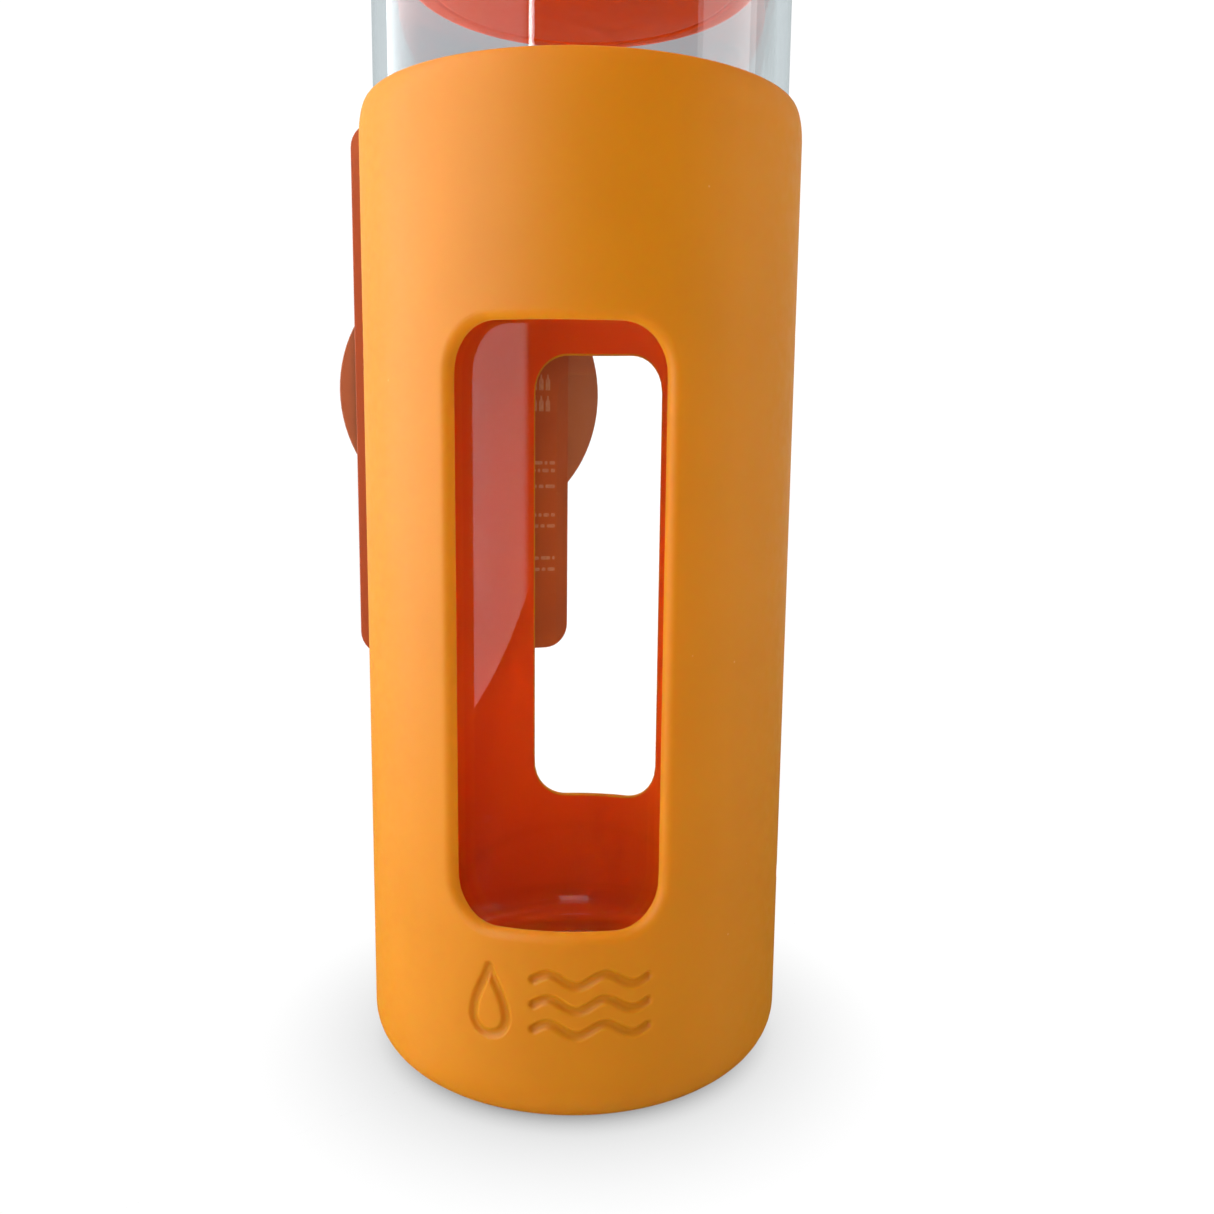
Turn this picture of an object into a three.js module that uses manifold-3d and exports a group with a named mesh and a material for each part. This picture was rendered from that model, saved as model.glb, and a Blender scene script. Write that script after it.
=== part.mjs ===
// Glass drinking bottle in a silicone sleeve, with a screw lid, a folding carry loop and a card tag.
// Millimetres, +Z up. The origin is the centre of the sleeve's flat base; the front window faces -Y.
import * as THREE from "three";
import { mergeVertices } from "three/addons/utils/BufferGeometryUtils.js";
import Module from "manifold-3d";

const wasm = await Module();
wasm.setup();

// ---------------------------------------------------------------- driving dimensions

const GAP = 0.3; // between pieces that touch on the real object

// glass body
const BODY_RADIUS = 34.6;
const BODY_WALL = 2.4;
const GLASS_FLOOR = 6.0;
const FOOT_WIDTH = 10.6; // from the dished centre of the underside to the side
const PUNT_DEPTH = 1.6;
const BARE_BAND = 24.9; // straight wall that stands above the sleeve
const SHOULDER_HEIGHT = 3.2;
const SHOULDER_STEP = 1.4; // neck's outside in from the body's
const NECK_HEIGHT = 13.5;
const NECK_WALL = 2.2;
const PLUG_CLEARANCE = 0.7; // plug to the bore of the neck

// glass thread: one round bead, buried in the neck at both ends
const THREAD_BEAD = 1.1;
const THREAD_PITCH = 4.0;
const THREAD_TURNS = 1.3;
const THREAD_START = 3.2; // first turn's height over the foot of the neck

// silicone sleeve
const SLEEVE_WALL = 2.1;
const SLEEVE_FLOOR = 2.2;
const SLEEVE_HEIGHT = 162.6;
const SLEEVE_CORNER = 7.5;
const RIM_TAPER_HEIGHT = 5.4;
const RIM_EDGE = 0.7; // wall left at the top of the taper

// sleeve windows
const WINDOW_BOTTOM = 33.2;
const WINDOW_HEADROOM = 36.8; // from the window's top to the rim
const WINDOW_CORNER = 7.6;
const WINDOWS = [ // azimuths are counter-clockwise from the front
  { azimuth: 0, halfAngle: THREE.MathUtils.degToRad(26.8) },
  { azimuth: THREE.MathUtils.degToRad(178.2), halfAngle: THREE.MathUtils.degToRad(22.7) },
];

// lid
const PLUG_WALL = 1.8;
const PLUG_FLOOR = 2.2;
const PLUG_DROP = 23.2; // underside of the plug below the lid's ceiling
const PLUG_EDGE = 1.2;
const GASKET_THICKNESS = 1.5;
const SKIRT_THREAD_CLEARANCE = 0.4;
const DECK_THICKNESS = 3.6;
const HUB_WALL = 3.8; // around the hollow under the hub
const HUB_CORE_DEPTH = 2.4;
const LID_EDGE = 1.6; // rounding of the deck's and hub's edges
const SKIRT_EDGE = 0.6; // rounding of the skirt's lower edge
const FLUTE_COUNT = 30;
const FLUTE_RADIUS = 3.0;
const FLUTE_DEPTH = 0.8;
const FLUTE_MARGIN = 3.0; // plain band above and below the flutes
const RIB_HEIGHT = 4.0; // ring that centres the plug on the lid
const RIB_WIDTH = 1.0;

// seal ring of the plug
const SEAL_SECTION = 1.1;
const SEAL_PROUD = 0.3;
const SEAL_DEPTH = 10.0; // below the lid's ceiling
const GROOVE_CLEARANCE = 0.3;
const GROOVE_BACKING = 1.7; // plug wall left behind the groove

// cover disc on the hub
const COVER_MARGIN = 2.8; // hub's rim around the cover
const COVER_THICKNESS = 1.6;
const COVER_CROWN = 0.5;

// carry loop and its pins
const LOOP_SETBACK = 0.6; // in from the lid's side
const LOOP_WIDTH = 8.2;
const LOOP_THICKNESS = 7.0;
const LOOP_ROUND = 2.2;
const LOOP_HUB_CLEARANCE = 1.4;
const EYE_RADIUS = 4.4;
const EYE_DECK_CLEARANCE = 0.5;
const PIN_RADIUS = 1.8;
const PIN_DEPTH = 8.0; // into the hub
const PIN_HEAD_RADIUS = 3.0;
const PIN_HEAD_THICKNESS = 1.2;

// card tag
const TAG_ANGLE = THREE.MathUtils.degToRad(23.3); // tangent line, counter-clockwise from the back
const TAG_WIDTH = 43.8;
const TAG_HEIGHT = 104.0;
const TAG_DROP = 97.9; // card's lower edge below the sleeve's rim
const TAG_CORNER = 5.0;
const TAG_THICKNESS = 0.6;
const TAG_SIDE_SHIFT = 12.0; // card's centre from the tangent line
const DOT_RADIUS = 5.0;
const DOT_THICKNESS = 0.8;
const DOT_DROP = 14.6; // upper dot's centre below the sleeve's rim
const DOT_PITCH = 13.0;
const DISC_RADIUS = 27.1;
const DISC_THICKNESS = 0.8;
const DISC_SIDE_SHIFT = -2.3; // disc's centre from the card's
const DISC_RISE = 1.3;
const DISC_PAD_RADIUS = 12.0;
const DISC_PAD_THICKNESS = 0.5;

// facets
const ROUND_SEGMENTS = 48;
const RING_SEGMENTS = 36;
const PIN_SEGMENTS = 16;
const ARC_DIVISIONS = 2; // a path's arc gets twice as many steps

// ---------------------------------------------------------------- derived sizes

const SLEEVE_INNER = BODY_RADIUS + GAP;
const SLEEVE_RADIUS = SLEEVE_INNER + SLEEVE_WALL;
const WINDOW_TOP = SLEEVE_HEIGHT - WINDOW_HEADROOM;
const GLASS_BASE_Z = SLEEVE_FLOOR + GAP;
const PUNT_RADIUS = BODY_RADIUS - FOOT_WIDTH;
const SHOULDER_Z = SLEEVE_HEIGHT + BARE_BAND;
const NECK_Z = SHOULDER_Z + SHOULDER_HEIGHT;
const RIM_Z = NECK_Z + NECK_HEIGHT;
const NECK_RADIUS = BODY_RADIUS - SHOULDER_STEP;
const NECK_BORE = NECK_RADIUS - NECK_WALL;
const THREAD_CREST = NECK_RADIUS + THREAD_BEAD;

const LID_RADIUS = SLEEVE_RADIUS;
const SKIRT_BORE = THREAD_CREST + SKIRT_THREAD_CLEARANCE;
const SKIRT_BOTTOM = NECK_Z + 2 * GAP;
const CEILING_Z = RIM_Z + GASKET_THICKNESS + 2 * GAP;
const DECK_Z = CEILING_Z + DECK_THICKNESS;
const PLUG_RADIUS = NECK_BORE - PLUG_CLEARANCE;
const PLUG_TOP = CEILING_Z - GAP;
const PLUG_BOTTOM = CEILING_Z - PLUG_DROP;
const PLUG_INNER = PLUG_RADIUS - PLUG_WALL;
const RIB_OUTER = PLUG_INNER - GAP;
const SEAL_Z = CEILING_Z - SEAL_DEPTH;
const SEAL_RADIUS = PLUG_RADIUS + SEAL_PROUD - SEAL_SECTION;

const PIVOT_Z = DECK_Z + EYE_RADIUS + EYE_DECK_CLEARANCE;
const HUB_TOP = PIVOT_Z + EYE_RADIUS;
const LOOP_OUTER = LID_RADIUS - LOOP_SETBACK;
const LOOP_INNER = LOOP_OUTER - LOOP_WIDTH;
const HUB_RADIUS = LOOP_INNER - LOOP_HUB_CLEARANCE;
const HUB_CORE_RADIUS = HUB_RADIUS - HUB_WALL;
const COVER_RADIUS = HUB_RADIUS - COVER_MARGIN;
const PIN_HOLE = PIN_RADIUS + GAP;
const PIN_HEAD_HOLE = PIN_HEAD_RADIUS + GAP;
const PIN_INNER_X = HUB_RADIUS - PIN_DEPTH;
const PIN_OUTER_X = LOOP_OUTER - GAP;

// ---------------------------------------------------------------- helpers

/** Closed profile (radius, height), outer side upwards, turned about Z. */
function turned(path, segments = ROUND_SEGMENTS) {
  const geometry = new THREE.LatheGeometry(path.getPoints(ARC_DIVISIONS), segments);
  return geometry.rotateX(Math.PI / 2);
}

/** Rounded rectangle centred on (x, y). */
function roundedRectangle(x, y, width, height, radius) {
  const [left, right] = [x - width / 2, x + width / 2];
  const [low, high] = [y - height / 2, y + height / 2];
  const shape = new THREE.Shape();
  shape.moveTo(left + radius, low);
  shape.lineTo(right - radius, low);
  shape.absarc(right - radius, low + radius, radius, -Math.PI / 2, 0, false);
  shape.lineTo(right, high - radius);
  shape.absarc(right - radius, high - radius, radius, 0, Math.PI / 2, false);
  shape.lineTo(left + radius, high);
  shape.absarc(left + radius, high - radius, radius, Math.PI / 2, Math.PI, false);
  shape.lineTo(left, low + radius);
  shape.absarc(left + radius, low + radius, radius, Math.PI, 1.5 * Math.PI, false);
  return shape;
}

/** Cylinder along X from x0 to x1. */
function rodAlongX(radius, x0, x1, z, segments = PIN_SEGMENTS) {
  const geometry = new THREE.CylinderGeometry(radius, radius, Math.abs(x1 - x0), segments);
  return geometry.rotateZ(Math.PI / 2).translate((x0 + x1) / 2, 0, z);
}

/** Closed mesh to a solid: only positions kept, shared vertices merged, slivers dropped. */
function toSolid(geometry) {
  const bare = geometry.clone();
  bare.deleteAttribute("normal");
  bare.deleteAttribute("uv");
  const merged = mergeVertices(bare, 1e-4);
  const triangles = [];
  for (let i = 0; i < merged.index.count; i += 3) {
    const corners = [0, 1, 2].map((k) => merged.index.getX(i + k));
    if (new Set(corners).size === 3) triangles.push(...corners);
  }
  const vertProperties = new Float32Array(merged.attributes.position.array);
  const triVerts = new Uint32Array(triangles);
  return new wasm.Manifold(new wasm.Mesh({ numProp: 3, vertProperties, triVerts }));
}

function toGeometry(solid) {
  const mesh = solid.getMesh();
  const geometry = new THREE.BufferGeometry();
  geometry.setAttribute("position", new THREE.BufferAttribute(new Float32Array(mesh.vertProperties), 3));
  geometry.setIndex(new THREE.BufferAttribute(new Uint32Array(mesh.triVerts), 1));
  return geometry;
}

const group = new THREE.Group();

function addPart(name, geometry, look, parent = group) {
  const { color, roughness, metalness = 0, opacity = 1 } = look;
  const material = new THREE.MeshStandardMaterial({ color, roughness, metalness });
  material.opacity = opacity;
  material.transparent = opacity < 1;
  const mesh = new THREE.Mesh(geometry, material);
  mesh.name = name;
  parent.add(mesh);
  return mesh;
}

const LOOKS = {
  glass: { color: 0xdfe6ea, roughness: 0.04, opacity: 0.35 },
  sleeve: { color: 0xe08a1e, roughness: 0.55 },
  lid: { color: 0xdd7a18, roughness: 0.25 },
  seal: { color: 0xe9dfd0, roughness: 0.6 },
  pin: { color: 0xc9cccf, roughness: 0.3, metalness: 1 },
  card: { color: 0xb8620f, roughness: 0.7 },
  glue: { color: 0xeeeae0, roughness: 0.5 },
};

// ---------------------------------------------------------------- glass bottle

/** Bead along a helix whose ends sink into the neck. */
class ThreadHelix extends THREE.Curve {
  getPoint(t, target = new THREE.Vector3()) {
    const angle = t * THREAD_TURNS * 2 * Math.PI;
    const fade = Math.min(1, 8 * t, 8 * (1 - t));
    const radius = NECK_RADIUS - THREAD_BEAD * (1 - fade);
    const z = NECK_Z + THREAD_START + (THREAD_PITCH * angle) / (2 * Math.PI);
    return target.set(radius * Math.cos(angle), radius * Math.sin(angle), z);
  }
}

function makeGlass() {
  const corner = SLEEVE_CORNER - SLEEVE_WALL - GAP;
  const innerCorner = corner - 1;
  const inner = BODY_RADIUS - BODY_WALL;
  const floorTop = GLASS_BASE_Z + GLASS_FLOOR;
  const lip = NECK_WALL / 2;
  const path = new THREE.Path();
  path.moveTo(0, GLASS_BASE_Z + PUNT_DEPTH);
  path.lineTo(PUNT_RADIUS - 2 * PUNT_DEPTH, GLASS_BASE_Z + PUNT_DEPTH);
  path.lineTo(PUNT_RADIUS, GLASS_BASE_Z);
  path.absarc(BODY_RADIUS - corner, GLASS_BASE_Z + corner, corner, -Math.PI / 2, 0, false);
  path.lineTo(BODY_RADIUS, SHOULDER_Z);
  path.bezierCurveTo(
    BODY_RADIUS, SHOULDER_Z + SHOULDER_HEIGHT / 2,
    NECK_RADIUS, SHOULDER_Z + SHOULDER_HEIGHT / 2,
    NECK_RADIUS, NECK_Z,
  );
  path.lineTo(NECK_RADIUS, RIM_Z - lip);
  path.absarc(NECK_RADIUS - lip, RIM_Z - lip, lip, 0, Math.PI, false);
  path.lineTo(NECK_BORE, NECK_Z);
  path.bezierCurveTo(
    NECK_BORE, SHOULDER_Z + SHOULDER_HEIGHT / 2,
    inner, SHOULDER_Z + SHOULDER_HEIGHT / 2,
    inner, SHOULDER_Z,
  );
  path.absarc(inner - innerCorner, floorTop + innerCorner, innerCorner, 0, -Math.PI / 2, true);
  path.lineTo(0, floorTop);

  const bead = new THREE.Shape();
  bead.absarc(0, 0, THREAD_BEAD, 0, 2 * Math.PI, false);
  const steps = Math.round(30 * THREAD_TURNS);
  const thread = new THREE.ExtrudeGeometry(bead, {
    curveSegments: 8,
    steps,
    bevelEnabled: false,
    extrudePath: new ThreadHelix(),
  });
  return toGeometry(toSolid(turned(path)).add(toSolid(thread)));
}

addPart("glass_bottle", makeGlass(), LOOKS.glass);

// ---------------------------------------------------------------- silicone sleeve

/** Radial cutter for one window: its outline is laid round the sleeve, its sides point at the axis. */
function windowCutter({ azimuth, halfAngle }) {
  const halfWidth = halfAngle * SLEEVE_RADIUS;
  const height = WINDOW_TOP - WINDOW_BOTTOM;
  const middle = (WINDOW_TOP + WINDOW_BOTTOM) / 2;
  const corners = roundedRectangle(0, middle, 2 * halfWidth, height, WINDOW_CORNER).getPoints(3);
  const maxStep = (2 * Math.PI * SLEEVE_RADIUS) / ROUND_SEGMENTS;
  const outline = [];
  corners.forEach((point, i) => {
    const next = corners[(i + 1) % corners.length];
    const pieces = Math.max(1, Math.ceil(Math.abs(next.x - point.x) / maxStep));
    for (let k = 0; k < pieces; k += 1) outline.push(point.clone().lerp(next, k / pieces));
  });
  const inside = SLEEVE_INNER / 2;
  const outside = SLEEVE_RADIUS * 1.6;
  const geometry = new THREE.ExtrudeGeometry(new THREE.Shape(outline), {
    depth: outside - inside,
    bevelEnabled: false,
  });
  const position = geometry.attributes.position;
  for (let i = 0; i < position.count; i += 1) {
    const angle = azimuth + position.getX(i) / SLEEVE_RADIUS - Math.PI / 2;
    const radius = inside + position.getZ(i);
    position.setXYZ(i, radius * Math.cos(angle), radius * Math.sin(angle), position.getY(i));
  }
  return toSolid(geometry);
}

function makeSleeve() {
  const innerCorner = SLEEVE_CORNER - SLEEVE_WALL;
  const taperZ = SLEEVE_HEIGHT - RIM_TAPER_HEIGHT;
  const taper = SLEEVE_WALL - RIM_EDGE;
  const path = new THREE.Path();
  path.moveTo(0, 0);
  path.lineTo(SLEEVE_RADIUS - SLEEVE_CORNER, 0);
  path.absarc(SLEEVE_RADIUS - SLEEVE_CORNER, SLEEVE_CORNER, SLEEVE_CORNER, -Math.PI / 2, 0, false);
  path.lineTo(SLEEVE_RADIUS, taperZ);
  path.absellipse(SLEEVE_RADIUS - taper, taperZ, taper, RIM_TAPER_HEIGHT, 0, Math.PI / 2, false, 0);
  path.lineTo(SLEEVE_INNER, SLEEVE_HEIGHT);
  path.lineTo(SLEEVE_INNER, SLEEVE_FLOOR + innerCorner);
  path.absarc(SLEEVE_INNER - innerCorner, SLEEVE_FLOOR + innerCorner, innerCorner, 0, -Math.PI / 2, true);
  path.lineTo(0, SLEEVE_FLOOR);
  let sleeve = toSolid(turned(path));
  for (const window of WINDOWS) sleeve = sleeve.subtract(windowCutter(window));
  return toGeometry(sleeve);
}

addPart("silicone_sleeve", makeSleeve(), LOOKS.sleeve);

// ---------------------------------------------------------------- lid

function makeLidShell() {
  const recessZ = HUB_TOP - COVER_THICKNESS - GAP;
  const recessRadius = COVER_RADIUS + GAP;
  const path = new THREE.Path();
  path.moveTo(SKIRT_BORE, SKIRT_BOTTOM);
  path.lineTo(LID_RADIUS - SKIRT_EDGE, SKIRT_BOTTOM);
  path.absarc(LID_RADIUS - SKIRT_EDGE, SKIRT_BOTTOM + SKIRT_EDGE, SKIRT_EDGE, -Math.PI / 2, 0, false);
  path.absarc(LID_RADIUS - LID_EDGE, DECK_Z - LID_EDGE, LID_EDGE, 0, Math.PI / 2, false);
  path.lineTo(HUB_RADIUS, DECK_Z);
  path.absarc(HUB_RADIUS - LID_EDGE, HUB_TOP - LID_EDGE, LID_EDGE, 0, Math.PI / 2, false);
  path.lineTo(recessRadius, HUB_TOP);
  path.lineTo(recessRadius, recessZ);
  path.lineTo(0, recessZ);
  path.lineTo(0, CEILING_Z + HUB_CORE_DEPTH);
  path.lineTo(HUB_CORE_RADIUS, CEILING_Z + HUB_CORE_DEPTH);
  path.lineTo(HUB_CORE_RADIUS, CEILING_Z);
  path.lineTo(RIB_OUTER - RIB_WIDTH, CEILING_Z);
  path.lineTo(RIB_OUTER - RIB_WIDTH, CEILING_Z - RIB_HEIGHT);
  path.lineTo(RIB_OUTER, CEILING_Z - RIB_HEIGHT);
  path.lineTo(RIB_OUTER, CEILING_Z);
  path.lineTo(SKIRT_BORE, CEILING_Z);
  path.lineTo(SKIRT_BORE, SKIRT_BOTTOM);
  let shell = toSolid(turned(path));

  const fluteLow = SKIRT_BOTTOM + FLUTE_MARGIN;
  const fluteHigh = DECK_Z - FLUTE_MARGIN;
  for (let i = 0; i < FLUTE_COUNT; i += 1) {
    const flute = new THREE.CylinderGeometry(FLUTE_RADIUS, FLUTE_RADIUS, fluteHigh - fluteLow, 12);
    flute.rotateX(Math.PI / 2);
    flute.translate(LID_RADIUS + FLUTE_RADIUS - FLUTE_DEPTH, 0, (fluteLow + fluteHigh) / 2);
    flute.rotateZ(((i + 0.5) * 2 * Math.PI) / FLUTE_COUNT);
    shell = shell.subtract(toSolid(flute));
  }
  for (const side of [-1, 1]) {
    const hole = rodAlongX(PIN_HOLE, side * (PIN_INNER_X - GAP), side * (HUB_RADIUS + 1), PIVOT_Z);
    shell = shell.subtract(toSolid(hole));
  }
  return toGeometry(shell);
}

function makeLidLiner() {
  const groove = SEAL_SECTION + GROOVE_CLEARANCE;
  const grooveFloor = SEAL_RADIUS - SEAL_SECTION - GROOVE_CLEARANCE;
  const backing = grooveFloor - GROOVE_BACKING;
  const floorTop = PLUG_BOTTOM + PLUG_FLOOR;
  const path = new THREE.Path();
  path.moveTo(0, PLUG_BOTTOM);
  path.lineTo(PLUG_RADIUS - PLUG_EDGE, PLUG_BOTTOM);
  path.absarc(PLUG_RADIUS - PLUG_EDGE, PLUG_BOTTOM + PLUG_EDGE, PLUG_EDGE, -Math.PI / 2, 0, false);
  path.lineTo(PLUG_RADIUS, SEAL_Z - groove);
  path.lineTo(grooveFloor, SEAL_Z - groove);
  path.lineTo(grooveFloor, SEAL_Z + groove);
  path.lineTo(PLUG_RADIUS, SEAL_Z + groove);
  path.lineTo(PLUG_RADIUS, PLUG_TOP);
  path.lineTo(PLUG_INNER, PLUG_TOP);
  path.lineTo(PLUG_INNER, CEILING_Z - RIB_HEIGHT - GAP);
  path.lineTo(backing, SEAL_Z + groove);
  path.lineTo(backing, SEAL_Z - groove);
  path.lineTo(PLUG_INNER, SEAL_Z - 2.4 * groove);
  path.lineTo(PLUG_INNER, floorTop + PLUG_EDGE);
  path.lineTo(PLUG_INNER - PLUG_EDGE, floorTop);
  path.lineTo(0, floorTop);
  return turned(path);
}

function makeSealRing() {
  const path = new THREE.Path();
  path.absarc(SEAL_RADIUS, SEAL_Z, SEAL_SECTION, 0, 2 * Math.PI, false);
  const points = path.getPoints(4);
  return new THREE.LatheGeometry(points, RING_SEGMENTS).rotateX(Math.PI / 2);
}

function makeRimGasket() {
  const low = RIM_Z + GAP;
  const inner = NECK_BORE + GAP;
  const outer = SKIRT_BORE - 2 * GAP;
  const section = roundedRectangle((inner + outer) / 2, low + GASKET_THICKNESS / 2,
    outer - inner, GASKET_THICKNESS, 0.4);
  const points = section.getPoints(1);
  points.push(points[0].clone());
  return new THREE.LatheGeometry(points, RING_SEGMENTS).rotateX(Math.PI / 2);
}

function makeCover() {
  const low = HUB_TOP - COVER_THICKNESS;
  const path = new THREE.Path();
  path.moveTo(0, low);
  path.lineTo(COVER_RADIUS, low);
  path.lineTo(COVER_RADIUS, HUB_TOP - 0.4);
  path.lineTo(COVER_RADIUS - 0.4, HUB_TOP);
  path.quadraticCurveTo(COVER_RADIUS / 2, HUB_TOP + COVER_CROWN, 0, HUB_TOP + COVER_CROWN);
  return turned(path, RING_SEGMENTS);
}

addPart("lid_shell", makeLidShell(), LOOKS.lid);
addPart("lid_liner", makeLidLiner(), LOOKS.lid);
addPart("plug_seal_ring", makeSealRing(), LOOKS.seal);
addPart("rim_gasket", makeRimGasket(), LOOKS.seal);
addPart("lid_cover", makeCover(), LOOKS.lid);

// ---------------------------------------------------------------- carry loop and pins

function makeLoop() {
  const middle = (LOOP_INNER + LOOP_OUTER) / 2;
  const section = roundedRectangle(middle, PIVOT_Z, LOOP_WIDTH, LOOP_THICKNESS, LOOP_ROUND);
  const points = section.getPoints(2);
  points.push(points[0].clone());
  const ring = new THREE.LatheGeometry(points, ROUND_SEGMENTS).rotateX(Math.PI / 2);
  const half = new THREE.BoxGeometry(3 * LOOP_OUTER, 2 * LOOP_OUTER, 4 * LOOP_THICKNESS);
  half.translate(0, LOOP_OUTER, PIVOT_Z);
  let loop = toSolid(ring).intersect(toSolid(half));
  for (const side of [-1, 1]) {
    const eye = rodAlongX(EYE_RADIUS, side * LOOP_INNER, side * (LOOP_OUTER - GAP), PIVOT_Z, 24);
    const hole = rodAlongX(PIN_HOLE, side * (LOOP_INNER - 1), side * (LOOP_OUTER + 1), PIVOT_Z);
    const seatX = PIN_OUTER_X - PIN_HEAD_THICKNESS - GAP;
    const seat = rodAlongX(PIN_HEAD_HOLE, side * seatX, side * (LOOP_OUTER + 1), PIVOT_Z);
    loop = loop.add(toSolid(eye)).subtract(toSolid(hole)).subtract(toSolid(seat));
  }
  return toGeometry(loop);
}

function makePin(side) {
  const headX = PIN_OUTER_X - PIN_HEAD_THICKNESS;
  const shank = rodAlongX(PIN_RADIUS, side * PIN_INNER_X, side * (headX + 0.1), PIVOT_Z);
  const head = rodAlongX(PIN_HEAD_RADIUS, side * headX, side * PIN_OUTER_X, PIVOT_Z);
  return toGeometry(toSolid(shank).add(toSolid(head)));
}

addPart("carry_loop", makeLoop(), LOOKS.lid);
addPart("loop_pin_left", makePin(-1), LOOKS.pin);
addPart("loop_pin_right", makePin(1), LOOKS.pin);

// ---------------------------------------------------------------- card tag
// The tag's group has +X along the card, +Y up it and +Z out from the sleeve.

const tag = new THREE.Group();
tag.rotation.setFromRotationMatrix(
  new THREE.Matrix4().makeBasis(
    new THREE.Vector3(-Math.cos(TAG_ANGLE), -Math.sin(TAG_ANGLE), 0),
    new THREE.Vector3(0, 0, 1),
    new THREE.Vector3(-Math.sin(TAG_ANGLE), Math.cos(TAG_ANGLE), 0),
  ),
);
group.add(tag);

const DOT_BACK = SLEEVE_RADIUS + GAP;
const CARD_BACK = DOT_BACK + DOT_THICKNESS + GAP;
const DISC_PAD_BACK = CARD_BACK + TAG_THICKNESS + GAP;
const DISC_BACK = DISC_PAD_BACK + DISC_PAD_THICKNESS + GAP;
const TAG_MIDDLE_Z = SLEEVE_HEIGHT - TAG_DROP + TAG_HEIGHT / 2;
const UPPER_DOT_Z = SLEEVE_HEIGHT - DOT_DROP;

function flatPiece(shape, thickness, back) {
  const options = { depth: thickness, bevelEnabled: false, curveSegments: 4 };
  return new THREE.ExtrudeGeometry(shape, options).translate(0, 0, back);
}

function roundPiece(x, y, radius, thickness, back, segments) {
  const geometry = new THREE.CylinderGeometry(radius, radius, thickness, segments);
  return geometry.rotateX(Math.PI / 2).translate(x, y, back + thickness / 2);
}

function makeDot(y) {
  return roundPiece(0, y, DOT_RADIUS, DOT_THICKNESS, DOT_BACK, PIN_SEGMENTS);
}

const cardShape = roundedRectangle(TAG_SIDE_SHIFT, TAG_MIDDLE_Z, TAG_WIDTH, TAG_HEIGHT, TAG_CORNER);
const discX = TAG_SIDE_SHIFT + DISC_SIDE_SHIFT;
const discZ = TAG_MIDDLE_Z + DISC_RISE;
const discPad = roundPiece(discX, discZ, DISC_PAD_RADIUS, DISC_PAD_THICKNESS, DISC_PAD_BACK, RING_SEGMENTS / 2);
const disc = roundPiece(discX, discZ, DISC_RADIUS, DISC_THICKNESS, DISC_BACK, ROUND_SEGMENTS);

addPart("tag_card", flatPiece(cardShape, TAG_THICKNESS, CARD_BACK), LOOKS.card, tag);
addPart("tag_disc_pad", discPad, LOOKS.glue, tag);
addPart("tag_disc", disc, LOOKS.card, tag);
addPart("tag_dot_lower", makeDot(UPPER_DOT_Z - DOT_PITCH), LOOKS.glue, tag);
addPart("tag_dot_upper", makeDot(UPPER_DOT_Z), LOOKS.glue, tag);

export default group;
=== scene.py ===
"""Looks of a clear glass bottle in an orange silicone sleeve, with its screw lid, carry loop and card tag.

Metres, +Z up, front window towards -Y. Azimuths are counter-clockwise seen from above, from -Y.
"""

import math

import bmesh
import bpy
import numpy as np
from mathutils import Matrix, Vector


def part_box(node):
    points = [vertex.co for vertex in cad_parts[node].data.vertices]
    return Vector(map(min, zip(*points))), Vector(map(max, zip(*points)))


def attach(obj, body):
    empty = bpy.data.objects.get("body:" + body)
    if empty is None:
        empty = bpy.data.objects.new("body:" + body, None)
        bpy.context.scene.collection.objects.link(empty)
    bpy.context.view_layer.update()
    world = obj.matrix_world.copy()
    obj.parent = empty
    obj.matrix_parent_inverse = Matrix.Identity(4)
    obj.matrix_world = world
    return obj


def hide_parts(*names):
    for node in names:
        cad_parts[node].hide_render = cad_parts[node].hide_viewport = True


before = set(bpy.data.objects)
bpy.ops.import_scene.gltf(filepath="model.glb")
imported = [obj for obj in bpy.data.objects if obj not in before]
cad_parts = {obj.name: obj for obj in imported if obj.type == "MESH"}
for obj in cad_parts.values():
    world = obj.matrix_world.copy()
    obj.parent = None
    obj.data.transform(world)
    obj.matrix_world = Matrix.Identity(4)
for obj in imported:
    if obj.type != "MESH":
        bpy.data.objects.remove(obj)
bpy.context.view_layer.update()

MM = 0.001

# -------------------- sizes read from the frame

SLEEVE_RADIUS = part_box("silicone_sleeve")[1].x
SLEEVE_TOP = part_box("silicone_sleeve")[1].z
GLASS_LOW, GLASS_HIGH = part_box("glass_bottle")
GLASS_RADIUS = GLASS_HIGH.x
LINER_LOW, LINER_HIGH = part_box("lid_liner")
SHELL_LOW, SHELL_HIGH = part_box("lid_shell")
COVER_LOW, COVER_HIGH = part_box("lid_cover")
SEAL_LOW, SEAL_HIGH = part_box("plug_seal_ring")
GASKET_LOW, GASKET_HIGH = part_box("rim_gasket")
LOOP_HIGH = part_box("carry_loop")[1]
PIN_LOW, PIN_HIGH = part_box("loop_pin_right")

# -------------------- sizes repeated from the design

SLEEVE_WALL = 2.1 * MM
SLEEVE_FLOOR = 2.2 * MM
SLEEVE_CORNER = 7.5 * MM
RIM_TAPER = 5.4 * MM
RIM_EDGE = 0.7 * MM
WINDOW_BOTTOM = 33.2 * MM
WINDOW_TOP = 125.8 * MM
WINDOW_CORNER = 7.6 * MM
FRONT_WINDOW = (0.0, math.radians(26.8))  # azimuth and half angle
BACK_WINDOW = (math.radians(178.2), math.radians(22.7))
LIP_OUTER = 1.5 * MM  # rounding of a window's outer edge
LIP_INNER = 0.4 * MM

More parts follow.
